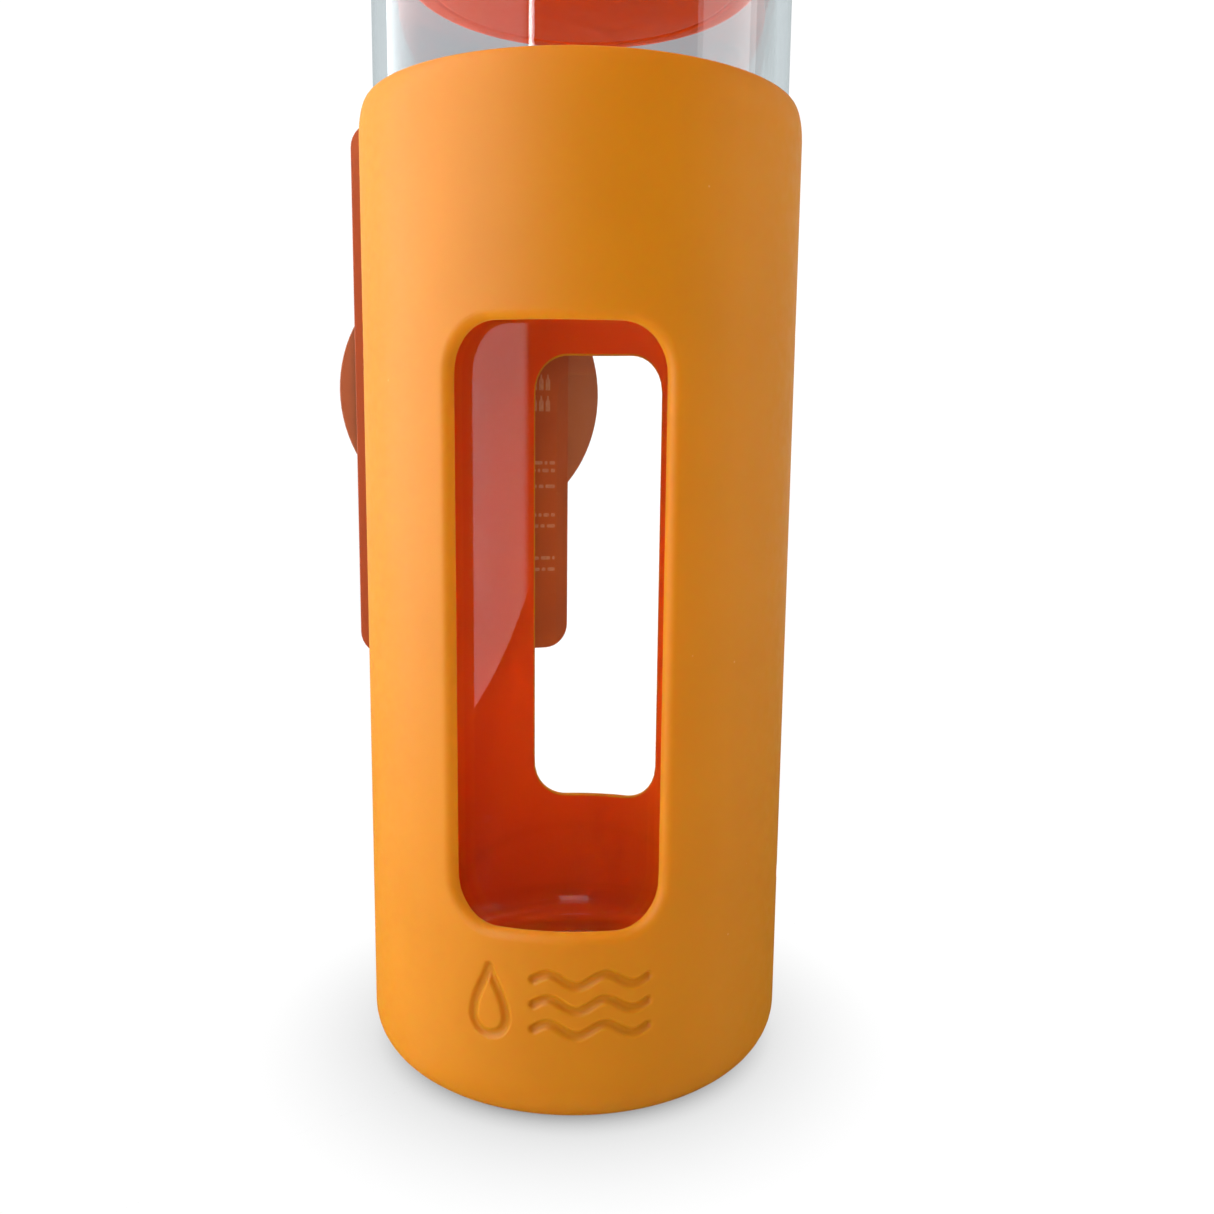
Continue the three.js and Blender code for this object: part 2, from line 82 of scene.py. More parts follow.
GLASS_WALL = 2.4 * MM
GLASS_FLOOR = 6.0 * MM
NECK_WALL = 2.2 * MM
NECK_HEIGHT = 13.5 * MM
SHOULDER_HEIGHT = 3.2 * MM
NECK_BORE = LINER_HIGH.x + 0.7 * MM
THREAD_PITCH = 4.0 * MM
THREAD_START = 3.2 * MM
THREAD_TURNS = 1.3
THREAD_BEAD = 1.1 * MM

DECK_THICKNESS = 3.6 * MM
HUB_RADIUS = 26.8 * MM
HUB_CORE_RADIUS = 23.0 * MM
HUB_CORE_DEPTH = 2.4 * MM
FLUTES = 30
PIN_RADIUS = 1.8 * MM
PIN_HEAD_RADIUS = 3.0 * MM
PIN_HEAD_THICKNESS = 1.2 * MM
EYE_RADIUS = 4.4 * MM
LOOP_WIDTH = 8.2 * MM
LOOP_THICKNESS = 7.0 * MM
GAP = 0.3 * MM
LINER_WALL = 1.8 * MM
LOOP_CLEARANCE = 1.4 * MM  # from the hub to the loop

TAG_ANGLE = math.radians(23.3)
TAG_WIDTH = 43.8 * MM
TAG_CORNER = 5.0 * MM
TAG_THICKNESS = 0.6 * MM
TAG_SIDE_SHIFT = 12.0 * MM
DISC_SHIFT = 9.7 * MM  # disc's centre from the tangent line
TAG_BACK = 1.4 * MM  # card's inner face outside the sleeve
DISC_THICKNESS = 0.8 * MM
DISC_SPACE = 1.1 * MM  # from the card to the disc
PAD_THICKNESS = 0.5 * MM
DOT_THICKNESS = 0.8 * MM
INK_THICKNESS = 0.03 * MM

NECK_Z = GLASS_HIGH.z - NECK_HEIGHT
CEILING_Z = LINER_HIGH.z + GAP
DECK_Z = CEILING_Z + DECK_THICKNESS
PIVOT_Z = (PIN_LOW.z + PIN_HIGH.z) / 2

# -------------------- camera

CAMERA_ORBIT = math.radians(5.27)
CAMERA_DISTANCE = 0.1991
CAMERA_HEIGHT = 0.10866
CAMERA_YAW = math.radians(1.50)
CAMERA_PITCH = math.radians(8.47)
CAMERA_ROLL = math.radians(0.636)
CAMERA_LENS = 33.06  # mm on a 36 mm sensor


def make_camera():
    data = bpy.data.cameras.new("camera")
    data.sensor_width = 36
    data.lens = CAMERA_LENS
    data.clip_start = 0.01
    camera = bpy.data.objects.new("camera", data)
    bpy.context.scene.collection.objects.link(camera)
    forward = Vector((
        math.sin(CAMERA_YAW) * math.cos(CAMERA_PITCH),
        math.cos(CAMERA_YAW) * math.cos(CAMERA_PITCH),
        -math.sin(CAMERA_PITCH),
    ))
    right = Vector((math.cos(CAMERA_YAW), -math.sin(CAMERA_YAW), 0))
    up = right.cross(forward)
    rolled_right = math.cos(CAMERA_ROLL) * right + math.sin(CAMERA_ROLL) * up
    rolled_up = math.cos(CAMERA_ROLL) * up - math.sin(CAMERA_ROLL) * right
    turn = Matrix((rolled_right, rolled_up, -forward)).transposed().to_4x4()
    place = Matrix.Translation((0, -CAMERA_DISTANCE, CAMERA_HEIGHT))
    camera.matrix_world = Matrix.Rotation(CAMERA_ORBIT, 4, "Z") @ place @ turn
    bpy.context.scene.camera = camera


# -------------------- mesh helpers


def mesh_piece(name, vertices, faces, material, skin=None, skin_faces=()):
    """A smooth-shaded mesh object from vertices and faces, welded, with its normals outwards.

    A second material, skin, covers the faces in the ranges skin_faces.
    """
    mesh = bpy.data.meshes.new(name)
    mesh.from_pydata([tuple(v) for v in vertices], [], faces)
    if skin:
        for first, last in skin_faces:
            for polygon in mesh.polygons[first:last]:
                polygon.material_index = 1
    bm = bmesh.new()
    bm.from_mesh(mesh)
    bmesh.ops.remove_doubles(bm, verts=bm.verts, dist=2e-6)
    bmesh.ops.dissolve_degenerate(bm, edges=bm.edges, dist=1e-6)
    bmesh.ops.recalc_face_normals(bm, faces=bm.faces)
    bm.to_mesh(mesh)
    bm.free()
    mesh.shade_smooth()
    mesh.materials.append(material)
    if skin:
        mesh.materials.append(skin)
    piece = bpy.data.objects.new(name, mesh)
    bpy.context.scene.collection.objects.link(piece)
    return piece


def grid_faces(rows, columns, start=0, close_rows=False, close_columns=False):
    """Quads of a rows x columns grid of vertices, stored row by row from index start."""
    faces = []
    for i in range(rows if close_rows else rows - 1):
        for j in range(columns if close_columns else columns - 1):
            a = i * columns + j
            b = i * columns + (j + 1) % columns
            c = ((i + 1) % rows) * columns + (j + 1) % columns
            d = ((i + 1) % rows) * columns + j
            faces.append((start + a, start + b, start + c, start + d))
    return faces


def rounded(corners, steps=6):
    """Points along a polyline of (x, y, radius) corners, each corner rounded to its radius."""
    points = []
    count = len(corners)
    for i, (x, y, radius) in enumerate(corners):
        here = np.array((x, y))
        if radius <= 0:
            points.append(here)
            continue
        before = np.array(corners[i - 1][:2]) - here
        after = np.array(corners[(i + 1) % count][:2]) - here
        before /= np.linalg.norm(before)
        after /= np.linalg.norm(after)
        half = math.acos(np.clip(before @ after, -1, 1)) / 2
        reach = radius / math.tan(half)
        centre = here + (before + after) / np.linalg.norm(before + after) * radius / math.sin(half)
        first = here + before * reach - centre
        last = here + after * reach - centre
        sweep = math.pi - 2 * half
        for k in range(steps + 1):
            t = k / steps
            weights = (math.sin((1 - t) * sweep), math.sin(t * sweep))
            points.append(centre + (first * weights[0] + last * weights[1]) / math.sin(sweep))
    return points


def dense(points, step):
    """The same polyline with long straight stretches divided."""
    result = []
    for a, b in zip(points[:-1], points[1:]):
        pieces = max(1, math.ceil(np.linalg.norm(b - a) / step))
        result.extend(a + (b - a) * k / pieces for k in range(pieces))
    result.append(points[-1])
    return result


def quarter(steps, first=0):
    """Sine and cosine at even steps of a quarter turn."""
    angles = [math.pi / 2 * k / steps for k in range(first, steps + 1)]
    return [(math.sin(angle), math.cos(angle)) for angle in angles]


def revolve(name, profile, material, segments=160, closed=False, displace=None):
    """Turns a profile of (radius, z) about Z. A profile that isn't closed has both ends on the axis."""
    radius = np.array([p[0] for p in profile])[:, None]
    height = np.array([p[1] for p in profile])[:, None]
    azimuth = np.linspace(0, 2 * math.pi, segments, endpoint=False)[None, :]
    r = radius + 0 * azimuth
    if displace:
        r = r + displace(radius, height, azimuth)
    x = r * np.sin(azimuth)
    y = -r * np.cos(azimuth)
    z = height + 0 * azimuth
    vertices = np.stack([x, y, z], -1).reshape(-1, 3)
    faces = grid_faces(len(profile), segments, close_rows=closed, close_columns=True)
    return mesh_piece(name, vertices, faces, material)


def plate(name, outline, thickness, edge, material):
    """A flat plate with a rounded edge: outline in its plane, thickness along its own +Z."""
    outline = np.array(outline)
    tangent = np.roll(outline, -1, 0) - np.roll(outline, 1, 0)
    normal = np.stack([tangent[:, 1], -tangent[:, 0]], -1)
    normal /= np.linalg.norm(normal, axis=1)[:, None]
    rings = []
    for k in range(5):
        angle = math.pi * k / 8
        inset = edge * (1 - math.sin(angle))
        rings.append((inset, edge * (1 - math.cos(angle))))
    rings += [(inset, thickness - z) for inset, z in reversed(rings)]
    vertices = []
    for inset, z in rings:
        ring = outline - normal * inset
        vertices.extend((x, y, z) for x, y in ring)
    count = len(outline)
    faces = grid_faces(len(rings), count, close_columns=True)
    faces.append(tuple(range(count)))
    faces.append(tuple(range((len(rings) - 1) * count, len(rings) * count)))
    return mesh_piece(name, vertices, faces, material)


def sharp_shading(piece, degrees):
    """Smooth shading that stops at edges sharper than the angle."""
    piece.data.shade_smooth()
    bm = bmesh.new()
    bm.from_mesh(piece.data)
    limit = math.radians(degrees)
    for edge in bm.edges:
        edge.smooth = len(edge.link_faces) == 2 and edge.calc_face_angle(0) < limit
    bm.to_mesh(piece.data)
    bm.free()


def place(piece, matrix):
    piece.data.transform(matrix)
    return piece


# -------------------- materials


def node_math(tree, operation, *values):
    node = tree.nodes.new("ShaderNodeMath")
    node.operation = operation
    for socket, value in zip(node.inputs, values):
        if isinstance(value, (int, float)):
            socket.default_value = value
        else:
            tree.links.new(value, socket)
    return node.outputs["Value"]


def ramp(tree, value, low, high, to_low, to_high, kind="SMOOTHSTEP"):
    """A value carried over from the range low to high to the range to_low to to_high."""
    node = tree.nodes.new("ShaderNodeMapRange")
    node.interpolation_type = kind
    for socket, number in zip(("From Min", "From Max", "To Min", "To Max"), (low, high, to_low, to_high)):
        node.inputs[socket].default_value = number
    tree.links.new(value, node.inputs["Value"])
    return node.outputs["Result"]


def blend(tree, factor, a, b):
    """Two colours mixed by a factor; each is a plain colour or a socket."""
    node = tree.nodes.new("ShaderNodeMix")
    node.data_type = "RGBA"
    tree.links.new(factor, node.inputs["Factor"])
    for socket, colour in ((node.inputs[6], a), (node.inputs[7], b)):
        if isinstance(colour, tuple):
            socket.default_value = (*colour, 1)
        else:
            tree.links.new(colour, socket)
    return node.outputs[2]


class Shader:
    """A node material with one Principled shader, and short calls to feed it."""

    def __init__(self, name, **settings):
        self.material = bpy.data.materials.new(name)
        self.material.use_nodes = True
        self.tree = self.material.node_tree
        self.principled = self.tree.nodes["Principled BSDF"]
        self.coordinates = self.add("ShaderNodeTexCoord").outputs["Object"]
        for socket, value in settings.items():
            self.principled.inputs[socket.replace("_", " ")].default_value = value

    def add(self, kind):
        return self.tree.nodes.new(kind)

    def link(self, output, target):
        self.tree.links.new(output, target)

    def noise(self, scale, detail=3.0, roughness=0.5, stretch=None):
        node = self.add("ShaderNodeTexNoise")
        node.inputs["Scale"].default_value = scale
        node.inputs["Detail"].default_value = detail
        node.inputs["Roughness"].default_value = roughness
        source = self.coordinates
        if stretch:
            mapping = self.add("ShaderNodeMapping")
            mapping.inputs["Scale"].default_value = stretch
            self.link(source, mapping.inputs["Vector"])
            source = mapping.outputs["Vector"]
        self.link(source, node.inputs["Vector"])
        return node.outputs["Fac"]

    def remap(self, value, low, high, to_low, to_high):
        return ramp(self.tree, value, low, high, to_low, to_high, "LINEAR")

    def mix(self, factor, a, b):
        return blend(self.tree, factor, a, b)

    def bump(self, height, strength, distance):
        node = self.add("ShaderNodeBump")
        node.inputs["Strength"].default_value = strength
        node.inputs["Distance"].default_value = distance
        self.link(height, node.inputs["Height"])
        self.link(node.outputs["Normal"], self.principled.inputs["Normal"])

    def colour(self, output):
        self.link(output, self.principled.inputs["Base Color"])

    def tint(self, value, a, b, low=0.3, high=0.7):
        """Colours the surface from a to b as a value goes from low to high."""
        self.colour(self.mix(self.remap(value, low, high, 0, 1), a, b))

    def roughness(self, output):
        self.link(output, self.principled.inputs["Roughness"])


def silicone_material(name, dark, light, speck):
    """Satin silicone: soft sheen, faint cloudy tint, very fine grain and a few specks of dust."""
    shader = Shader(name, IOR=1.41, Specular_IOR_Level=0.18, Subsurface_Weight=0.5, Subsurface_Scale=0.005)
    shader.principled.inputs["Subsurface Radius"].default_value = (1.0, 0.22, 0.04)
    clouds = shader.noise(38, detail=4)
    tint = shader.mix(shader.remap(clouds, 0.3, 0.7, 0, 1), dark, light)
    specks = shader.add("ShaderNodeTexVoronoi")
    specks.inputs["Scale"].default_value = 130
    shader.link(shader.coordinates, specks.inputs["Vector"])
    dust = shader.remap(specks.outputs["Distance"], 0.012, 0.03, 0.55, 0)
    shader.colour(shader.mix(dust, tint, speck))
    shader.roughness(shader.remap(shader.noise(420, detail=2), 0.3, 0.7, 0.46, 0.56))
    shader.bump(shader.noise(3200, detail=2), 0.06, 0.00008)
    return shader.material


def glass_material():
    """Clear glass. Light from lamps passes straight through it, so that it lights what is inside."""
    shader = Shader("clear_glass", IOR=1.47, Transmission_Weight=1.0)
    shader.principled.inputs["Base Color"].default_value = (0.975, 0.985, 0.985, 1)
    shader.roughness(shader.remap(shader.noise(160, detail=3), 0.4, 0.75, 0.0, 0.012))
    shader.bump(shader.noise(22, detail=1, stretch=(1, 1, 0.25)), 0.12, 0.0002)
    clear = shader.add("ShaderNodeBsdfTransparent")
    clear.inputs["Color"].default_value = (0.96, 0.97, 0.97, 1)
    path = shader.add("ShaderNodeLightPath")
    mix = shader.add("ShaderNodeMixShader")
    output = shader.tree.nodes["Material Output"]
    shader.link(path.outputs["Is Shadow Ray"], mix.inputs["Fac"])
    shader.link(shader.principled.outputs["BSDF"], mix.inputs[1])
    shader.link(clear.outputs["BSDF"], mix.inputs[2])
    shader.link(mix.outputs["Shader"], output.inputs["Surface"])
    return shader.material


def lid_material():
    """Glossy moulded plastic with faint flow marks and fine scuffs."""
    shader = Shader("orange_gloss_plastic", IOR=1.45, Subsurface_Weight=0.1, Subsurface_Scale=0.003)
    shader.principled.inputs["Subsurface Radius"].default_value = (1.0, 0.2, 0.04)
    flow = shader.noise(26, detail=5, stretch=(1, 1, 2.5))
    shader.tint(flow, (0.82, 0.075, 0.003), (0.87, 0.09, 0.004))
    shader.roughness(shader.remap(shader.noise(310, detail=4), 0.35, 0.75, 0.14, 0.27))
    shader.bump(shader.noise(900, detail=2), 0.05, 0.00006)
    return shader.material


def loop_material():
    """Moulded plastic with a fine spark-eroded grain."""
    shader = Shader("orange_satin_plastic", IOR=1.49)
    flow = shader.noise(30, detail=4)
    shader.tint(flow, (0.82, 0.09, 0.004), (0.87, 0.105, 0.005))
    shader.roughness(shader.remap(shader.noise(500, detail=3), 0.3, 0.7, 0.36, 0.48))
    shader.bump(shader.noise(2600, detail=3), 0.18, 0.00012)
    return shader.material


def seal_material():
    """Milky silicone of the seals."""
    shader = Shader("milky_silicone", IOR=1.41, Subsurface_Weight=0.3, Subsurface_Scale=0.003)
    shader.tint(shader.noise(60, detail=3), (0.80, 0.77, 0.70), (0.87, 0.85, 0.79))
    shader.roughness(shader.remap(shader.noise(700), 0.3, 0.7, 0.42, 0.55))
    shader.bump(shader.noise(2400), 0.1, 0.00008)
    return shader.material


def steel_material():
    """Turned stainless steel with fine rings of tool marks about X."""
    shader = Shader("turned_steel", Metallic=1.0)
    streaks = shader.noise(900, detail=2, stretch=(6, 0.4, 0.4))
    shader.colour(shader.mix(streaks, (0.60, 0.60, 0.59), (0.74, 0.74, 0.73)))
    shader.roughness(shader.remap(streaks, 0.3, 0.7, 0.2, 0.34))
    shader.bump(streaks, 0.15, 0.00005)
    return shader.material


def card_material(name, light, dark):
    """Printed board: mottled ink over paper fibres, with a satin varnish."""
    shader = Shader(name, Coat_Weight=0.15, Coat_Roughness=0.35)
    fibres = shader.noise(900, detail=6, roughness=0.65)
    clouds = shader.noise(70, detail=3)
    ink = shader.mix(shader.remap(clouds, 0.3, 0.7, 0, 1), dark, light)
    worn = shader.remap(fibres, 0.62, 0.8, 0, 0.25)
    shader.colour(shader.mix(worn, ink, (0.80, 0.42, 0.16)))
    shader.roughness(shader.remap(fibres, 0.3, 0.7, 0.5, 0.66))
    shader.bump(fibres, 0.2, 0.00006)
    return shader.material


def print_material():
    """Pale ink printed on the card."""
    shader = Shader("pale_ink")
    fibres = shader.noise(1200, detail=5)
    shader.tint(fibres, (0.62, 0.24, 0.12), (0.54, 0.17, 0.08), 0.35)
    shader.roughness(shader.remap(fibres, 0.3, 0.7, 0.5, 0.65))
    return shader.material


def foam_material():
    """Translucent adhesive foam."""
    shader = Shader("adhesive_foam", IOR=1.4, Subsurface_Weight=0.2, Subsurface_Scale=0.002)
    cells = shader.noise(1500, detail=4)
    shader.tint(cells, (0.70, 0.68, 0.60), (0.84, 0.82, 0.76), 0.35, 0.65)
    shader.roughness(shader.remap(cells, 0.3, 0.7, 0.5, 0.7))
    shader.bump(cells, 0.3, 0.0001)
    return shader.material


# -------------------- silicone sleeve

MARK_BOTTOM = 13.0 * MM
BAND_BOTTOM = 30.5 * MM  # the windows' band of the mesh
BAND_TOP = 128.5 * MM
MARK_HALF_WIDTH = 18.0 * MM
MARK_CENTRE = 21.8 * MM
MARK_STROKE = 1.25 * MM
MARK_DEPTH = 0.65 * MM
FINE_STEP = 0.25 * MM
COARSE_STEP = 1.6 * MM
SIDE_ROWS = 64
WINDOW_RINGS = 16


def mark_strokes():
    """Centre lines of the generic mark: a water drop's outline beside three waves, as (arc length, z)."""
    t = np.linspace(0, 2 * math.pi, 90)
    drop_width, drop_height = 4.1 * MM, 5.6 * MM
    pinch = np.sin(t / 2) ** 1.6
    drop = np.stack([
        -10.5 * MM + drop_width * np.sin(t) * pinch,
        MARK_CENTRE + drop_height * np.cos(t) - 0.3 * MM,
    ], -1)
    strokes = [drop]
    s = np.linspace(0, 1, 70)
    for k in range(3):
        across = -3.2 * MM + 18.2 * MM * s
        wave = MARK_CENTRE + (k - 1) * 4.1 * MM + 0.95 * MM * np.sin(4 * math.pi * s)
        strokes.append(np.stack([across, wave], -1))
    return strokes


def mark_depth(across, height):
    """How deep the mark is pressed in at each point of the sleeve's front."""
    nearest = np.full(across.shape, 1.0)
    for stroke in mark_strokes():
        for a, b in zip(stroke[:-1], stroke[1:]):
            along = b - a
            t = ((across - a[0]) * along[0] + (height - a[1]) * along[1]) / (along @ along)
            t = np.clip(t, 0, 1)
            distance = np.hypot(across - a[0] - t * along[0], height - a[1] - t * along[1])
            nearest = np.minimum(nearest, distance)
    soft = 0.5 * MM
    t = np.clip((MARK_STROKE / 2 + soft / 2 - nearest) / soft, 0, 1)
    return MARK_DEPTH * t * t * (3 - 2 * t)


def sleeve_columns():
    """Azimuths of the mesh's columns: fine over the mark, coarse elsewhere; front half, then back half."""
    fine = MARK_HALF_WIDTH / SLEEVE_RADIUS
    fine_count = round(2 * MARK_HALF_WIDTH / FINE_STEP)
    side_count = round((math.pi / 2 - fine) * SLEEVE_RADIUS / COARSE_STEP)
    back_count = round(math.pi * SLEEVE_RADIUS / COARSE_STEP)
    front = np.concatenate([
        np.linspace(-math.pi / 2, -fine, side_count, endpoint=False),
        np.linspace(-fine, fine, fine_count, endpoint=False),
        np.linspace(fine, math.pi / 2, side_count + 1),
    ])
    back = np.linspace(math.pi / 2, 1.5 * math.pi, back_count + 1)
    return front, back


def on_cylinder(azimuth, radius, height):
    return np.stack([radius * np.sin(azimuth), -radius * np.cos(azimuth), height], -1)


def window_edge(directions, half_angle):
    """Where rays from a window's centre meet its rounded outline, and the outline's inward normals."""
    half_width = half_angle * SLEEVE_RADIUS + LIP_OUTER
    half_height = (WINDOW_TOP - WINDOW_BOTTOM) / 2 + LIP_OUTER
    corner = WINDOW_CORNER + LIP_OUTER
    core = np.array((half_width - corner, half_height - corner))
    points, normals = [], []
    for direction in directions:
        side = np.sign(direction) + (direction == 0)
        d = np.abs(direction)
        reach = min(half_width / max(d[0], 1e-12), half_height / max(d[1], 1e-12))
        point = d * reach
        normal = np.array((1.0, 0.0)) if reach * d[0] >= half_width * 0.999999 else np.array((0.0, 1.0))
        if point[0] > core[0] and point[1] > core[1]:
            b = d @ core
            c = core @ core - corner * corner
            reach = (b + math.sqrt(b * b - d @ d * c)) / (d @ d)
            point = d * reach
            normal = (point - core) / corner
        points.append(point * side)
        normals.append(-normal * side)
    return np.array(points), np.array(normals)


def window_block(columns, centre_azimuth, half_angle):
    """Flat (arc length, z) rings from a window's outline to the block's border, and the outline's normals."""
    u = columns * SLEEVE_RADIUS
    z = np.linspace(BAND_BOTTOM, BAND_TOP, SIDE_ROWS + 1)
    border = np.concatenate([
        np.stack([u[:-1], np.full(len(u) - 1, BAND_BOTTOM)], -1),
        np.stack([np.full(SIDE_ROWS, u[-1]), z[:-1]], -1),
        np.stack([u[:0:-1], np.full(len(u) - 1, BAND_TOP)], -1),
        np.stack([np.full(SIDE_ROWS, u[0]), z[:0:-1]], -1),
    ])
    centre = np.array((centre_azimuth * SLEEVE_RADIUS, (WINDOW_TOP + WINDOW_BOTTOM) / 2))
    edge, normals = window_edge(border - centre, half_angle)
    return border, edge + centre, normals


def sleeve_profiles():
    """Outer profile below and above the windows' band, and inner profile likewise, as (radius, z)."""
    inner = SLEEVE_RADIUS - SLEEVE_WALL
    inner_corner = SLEEVE_CORNER - SLEEVE_WALL
    low = [(r * MM, 0.0) for r in (0, 8, 16, 23)]
    low += [(SLEEVE_RADIUS - SLEEVE_CORNER * (1 - s), SLEEVE_CORNER * (1 - c)) for s, c in quarter(12)]
    low += [(SLEEVE_RADIUS, z) for z in np.linspace(SLEEVE_CORNER, MARK_BOTTOM, 5)[1:]]
    mark_rows = round((BAND_BOTTOM - MARK_BOTTOM) / FINE_STEP)
    low += [(SLEEVE_RADIUS, z) for z in np.linspace(MARK_BOTTOM, BAND_BOTTOM, mark_rows + 1)[1:]]

    taper_z = SLEEVE_TOP - RIM_TAPER
    taper = SLEEVE_WALL - RIM_EDGE
    high = [(SLEEVE_RADIUS, z) for z in np.linspace(BAND_TOP, taper_z, 16)]
    high += [(SLEEVE_RADIUS - taper * (1 - c), taper_z + RIM_TAPER * s) for s, c in quarter(12, 1)]
    rim_round = 0.25 * MM
    high += [
        (inner + rim_round - rim_round * s, SLEEVE_TOP - rim_round + rim_round * c)
        for s, c in quarter(4, 1)
    ]
    inside_high = [high[-1]] + [(inner, z) for z in np.linspace(SLEEVE_TOP - 1 * MM, BAND_TOP, 10)]

    inside = [(inner, z) for z in np.linspace(BAND_BOTTOM, SLEEVE_FLOOR + inner_corner, 8)]
    inside += [
        (inner - inner_corner * (1 - c), SLEEVE_FLOOR + inner_corner * (1 - s)) for s, c in quarter(8, 1)
    ]
    inside += [(r * MM, SLEEVE_FLOOR) for r in (20, 10, 0)]
    return low, high, inside, inside_high


def make_sleeve(material, skin):
    front, back = sleeve_columns()
    ring = np.concatenate([front[:-1], back[:-1]])
    vertices, faces, skin_faces = [], [], []

    def add_grid(points, inside=False):
        rows, columns = points.shape[:2]
        first = len(faces)
        faces.extend(grid_faces(rows, columns, len(vertices), close_columns=True))
        vertices.extend(points.reshape(-1, 3))
        if inside:
            skin_faces.append((first, len(faces)))

    outside_low, outside_high, inside_low, inside_high = sleeve_profiles()
    for profile in (outside_low, outside_high, inside_low, inside_high):
        radius = np.array([p[0] for p in profile])[:, None] + 0 * ring[None, :]
        height = np.array([p[1] for p in profile])[:, None] + 0 * ring[None, :]
        across = ring[None, :] * SLEEVE_RADIUS + 0 * height
        marked = (np.abs(across) < MARK_HALF_WIDTH) & (height > MARK_BOTTOM) & (height < BAND_BOTTOM)
        marked &= radius > SLEEVE_RADIUS - 0.1 * MM
        radius[marked] -= mark_depth(across[marked], height[marked])
        inside = profile is inside_low or profile is inside_high
        add_grid(on_cylinder(ring[None, :] + 0 * height, radius, height), inside)

    spread = (np.linspace(0, 1, WINDOW_RINGS + 1) ** 1.5)[:, None, None]
    inner_radius = SLEEVE_RADIUS - SLEEVE_WALL
    for columns, window in ((front, FRONT_WINDOW), (back, BACK_WINDOW)):
        border, edge, normals = window_block(columns, *window)
        skins = ((edge, SLEEVE_RADIUS), (edge + (LIP_OUTER - LIP_INNER) * normals, inner_radius))
        for start, radius in skins:
            flat = start[None] + (border - start)[None] * spread
            points = on_cylinder(flat[..., 0] / SLEEVE_RADIUS, radius, flat[..., 1])
            add_grid(points, inside=radius == inner_radius)
        lip = [(LIP_OUTER * s, SLEEVE_RADIUS - LIP_OUTER * (1 - c)) for s, c in quarter(8)]
        lip += [(LIP_OUTER - LIP_INNER * (1 - c), inner_radius + LIP_INNER * (1 - s)) for s, c in quarter(4)]
        rows = []
        for inset, radius in lip:
            flat = edge + inset * normals
            rows.append(on_cylinder(flat[:, 0] / SLEEVE_RADIUS, radius, flat[:, 1]))
        add_grid(np.array(rows))

    # The skin on the inside faces is a redder copy of the silicone, with painted light bounced inside the
    # sleeve.
    sleeve = mesh_piece("sleeve_body", vertices, faces, material, skin, skin_faces)
    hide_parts("silicone_sleeve")
    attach(sleeve, "sleeve")


# -------------------- glass bottle


def thread_height(radius, height, azimuth):
    """How far the helical bead stands out of the neck."""
    neck = NECK_BORE + NECK_WALL
    on_neck = (radius > neck - 0.05 * MM) & (height > NECK_Z) & (height < GLASS_HIGH.z - 1.2 * MM)
    out = np.zeros((len(radius), azimuth.shape[1]))
    start = math.pi / 2
    for turn in range(-1, 3):
        along = (azimuth - start) / (2 * math.pi) + turn
        fade = np.clip(np.minimum(along, THREAD_TURNS - along) * 10, 0, 1)
        middle = NECK_Z + THREAD_START + THREAD_PITCH * along
        bead = np.exp(-(((height - middle) / (0.8 * MM)) ** 2) * 1.2)
        out = np.maximum(out, THREAD_BEAD * bead * fade * fade * (3 - 2 * fade))
    return out * on_neck


def make_glass(material):
    base = GLASS_LOW.z
    floor = base + GLASS_FLOOR
    body, neck = GLASS_RADIUS, NECK_BORE + NECK_WALL
    inner = body - GLASS_WALL
    shoulder = NECK_Z - SHOULDER_HEIGHT
    lip = NECK_WALL / 2 - 0.01 * MM
    corners = [
        (0, base + 1.6 * MM, 0),
        (20.0 * MM, base + 1.6 * MM, 3 * MM),
        (24.5 * MM, base, 2 * MM),
        (body, base, 5.1 * MM),
        (body, shoulder, 2.4 * MM),
        (neck, NECK_Z, 1.8 * MM),
        (neck, GLASS_HIGH.z, lip),
        (NECK_BORE, GLASS_HIGH.z, lip),
        (NECK_BORE, NECK_Z, 1.8 * MM),
        (inner, shoulder, 2.4 * MM),
        (inner, floor, 6 * MM),
        (12 * MM, floor, 8 * MM),
        (0, floor - 0.4 * MM, 0),
    ]
    profile = rounded(corners, 10)
    fine = []
    for a, b in zip(profile[:-1], profile[1:]):
        on_neck = min(a[1], b[1]) > NECK_Z - 0.5 * MM and min(a[0], b[0]) > neck - 0.05 * MM
        step = 0.3 * MM if on_neck else 6 * MM
        fine.extend(dense([a, b], step)[:-1])
    fine.append(profile[-1])
    glass = revolve("glass_body", fine, material, segments=192, displace=thread_height)
    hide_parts("glass_bottle")
    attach(glass, "bottle")


# -------------------- lid


def flute_depth(radius, height, azimuth):
    """Grip flutes pressed into the skirt, fading out at both ends."""
    low, high = SHELL_LOW.z + 3 * MM, DECK_Z - 3 * MM
    ends = np.clip(np.minimum(height - low, high - height) / (1.2 * MM), 0, 1)
    ends = ends * ends * (3 - 2 * ends)
    across = np.abs(((azimuth * FLUTES / (2 * math.pi)) % 1) - 0.5) * 2
    groove = np.clip(1 - across / 0.62, 0, 1)
    groove = np.sqrt(1 - (1 - groove) ** 2)
    outside = radius > SLEEVE_RADIUS - 0.05 * MM
    return -0.8 * MM * groove * ends * outside


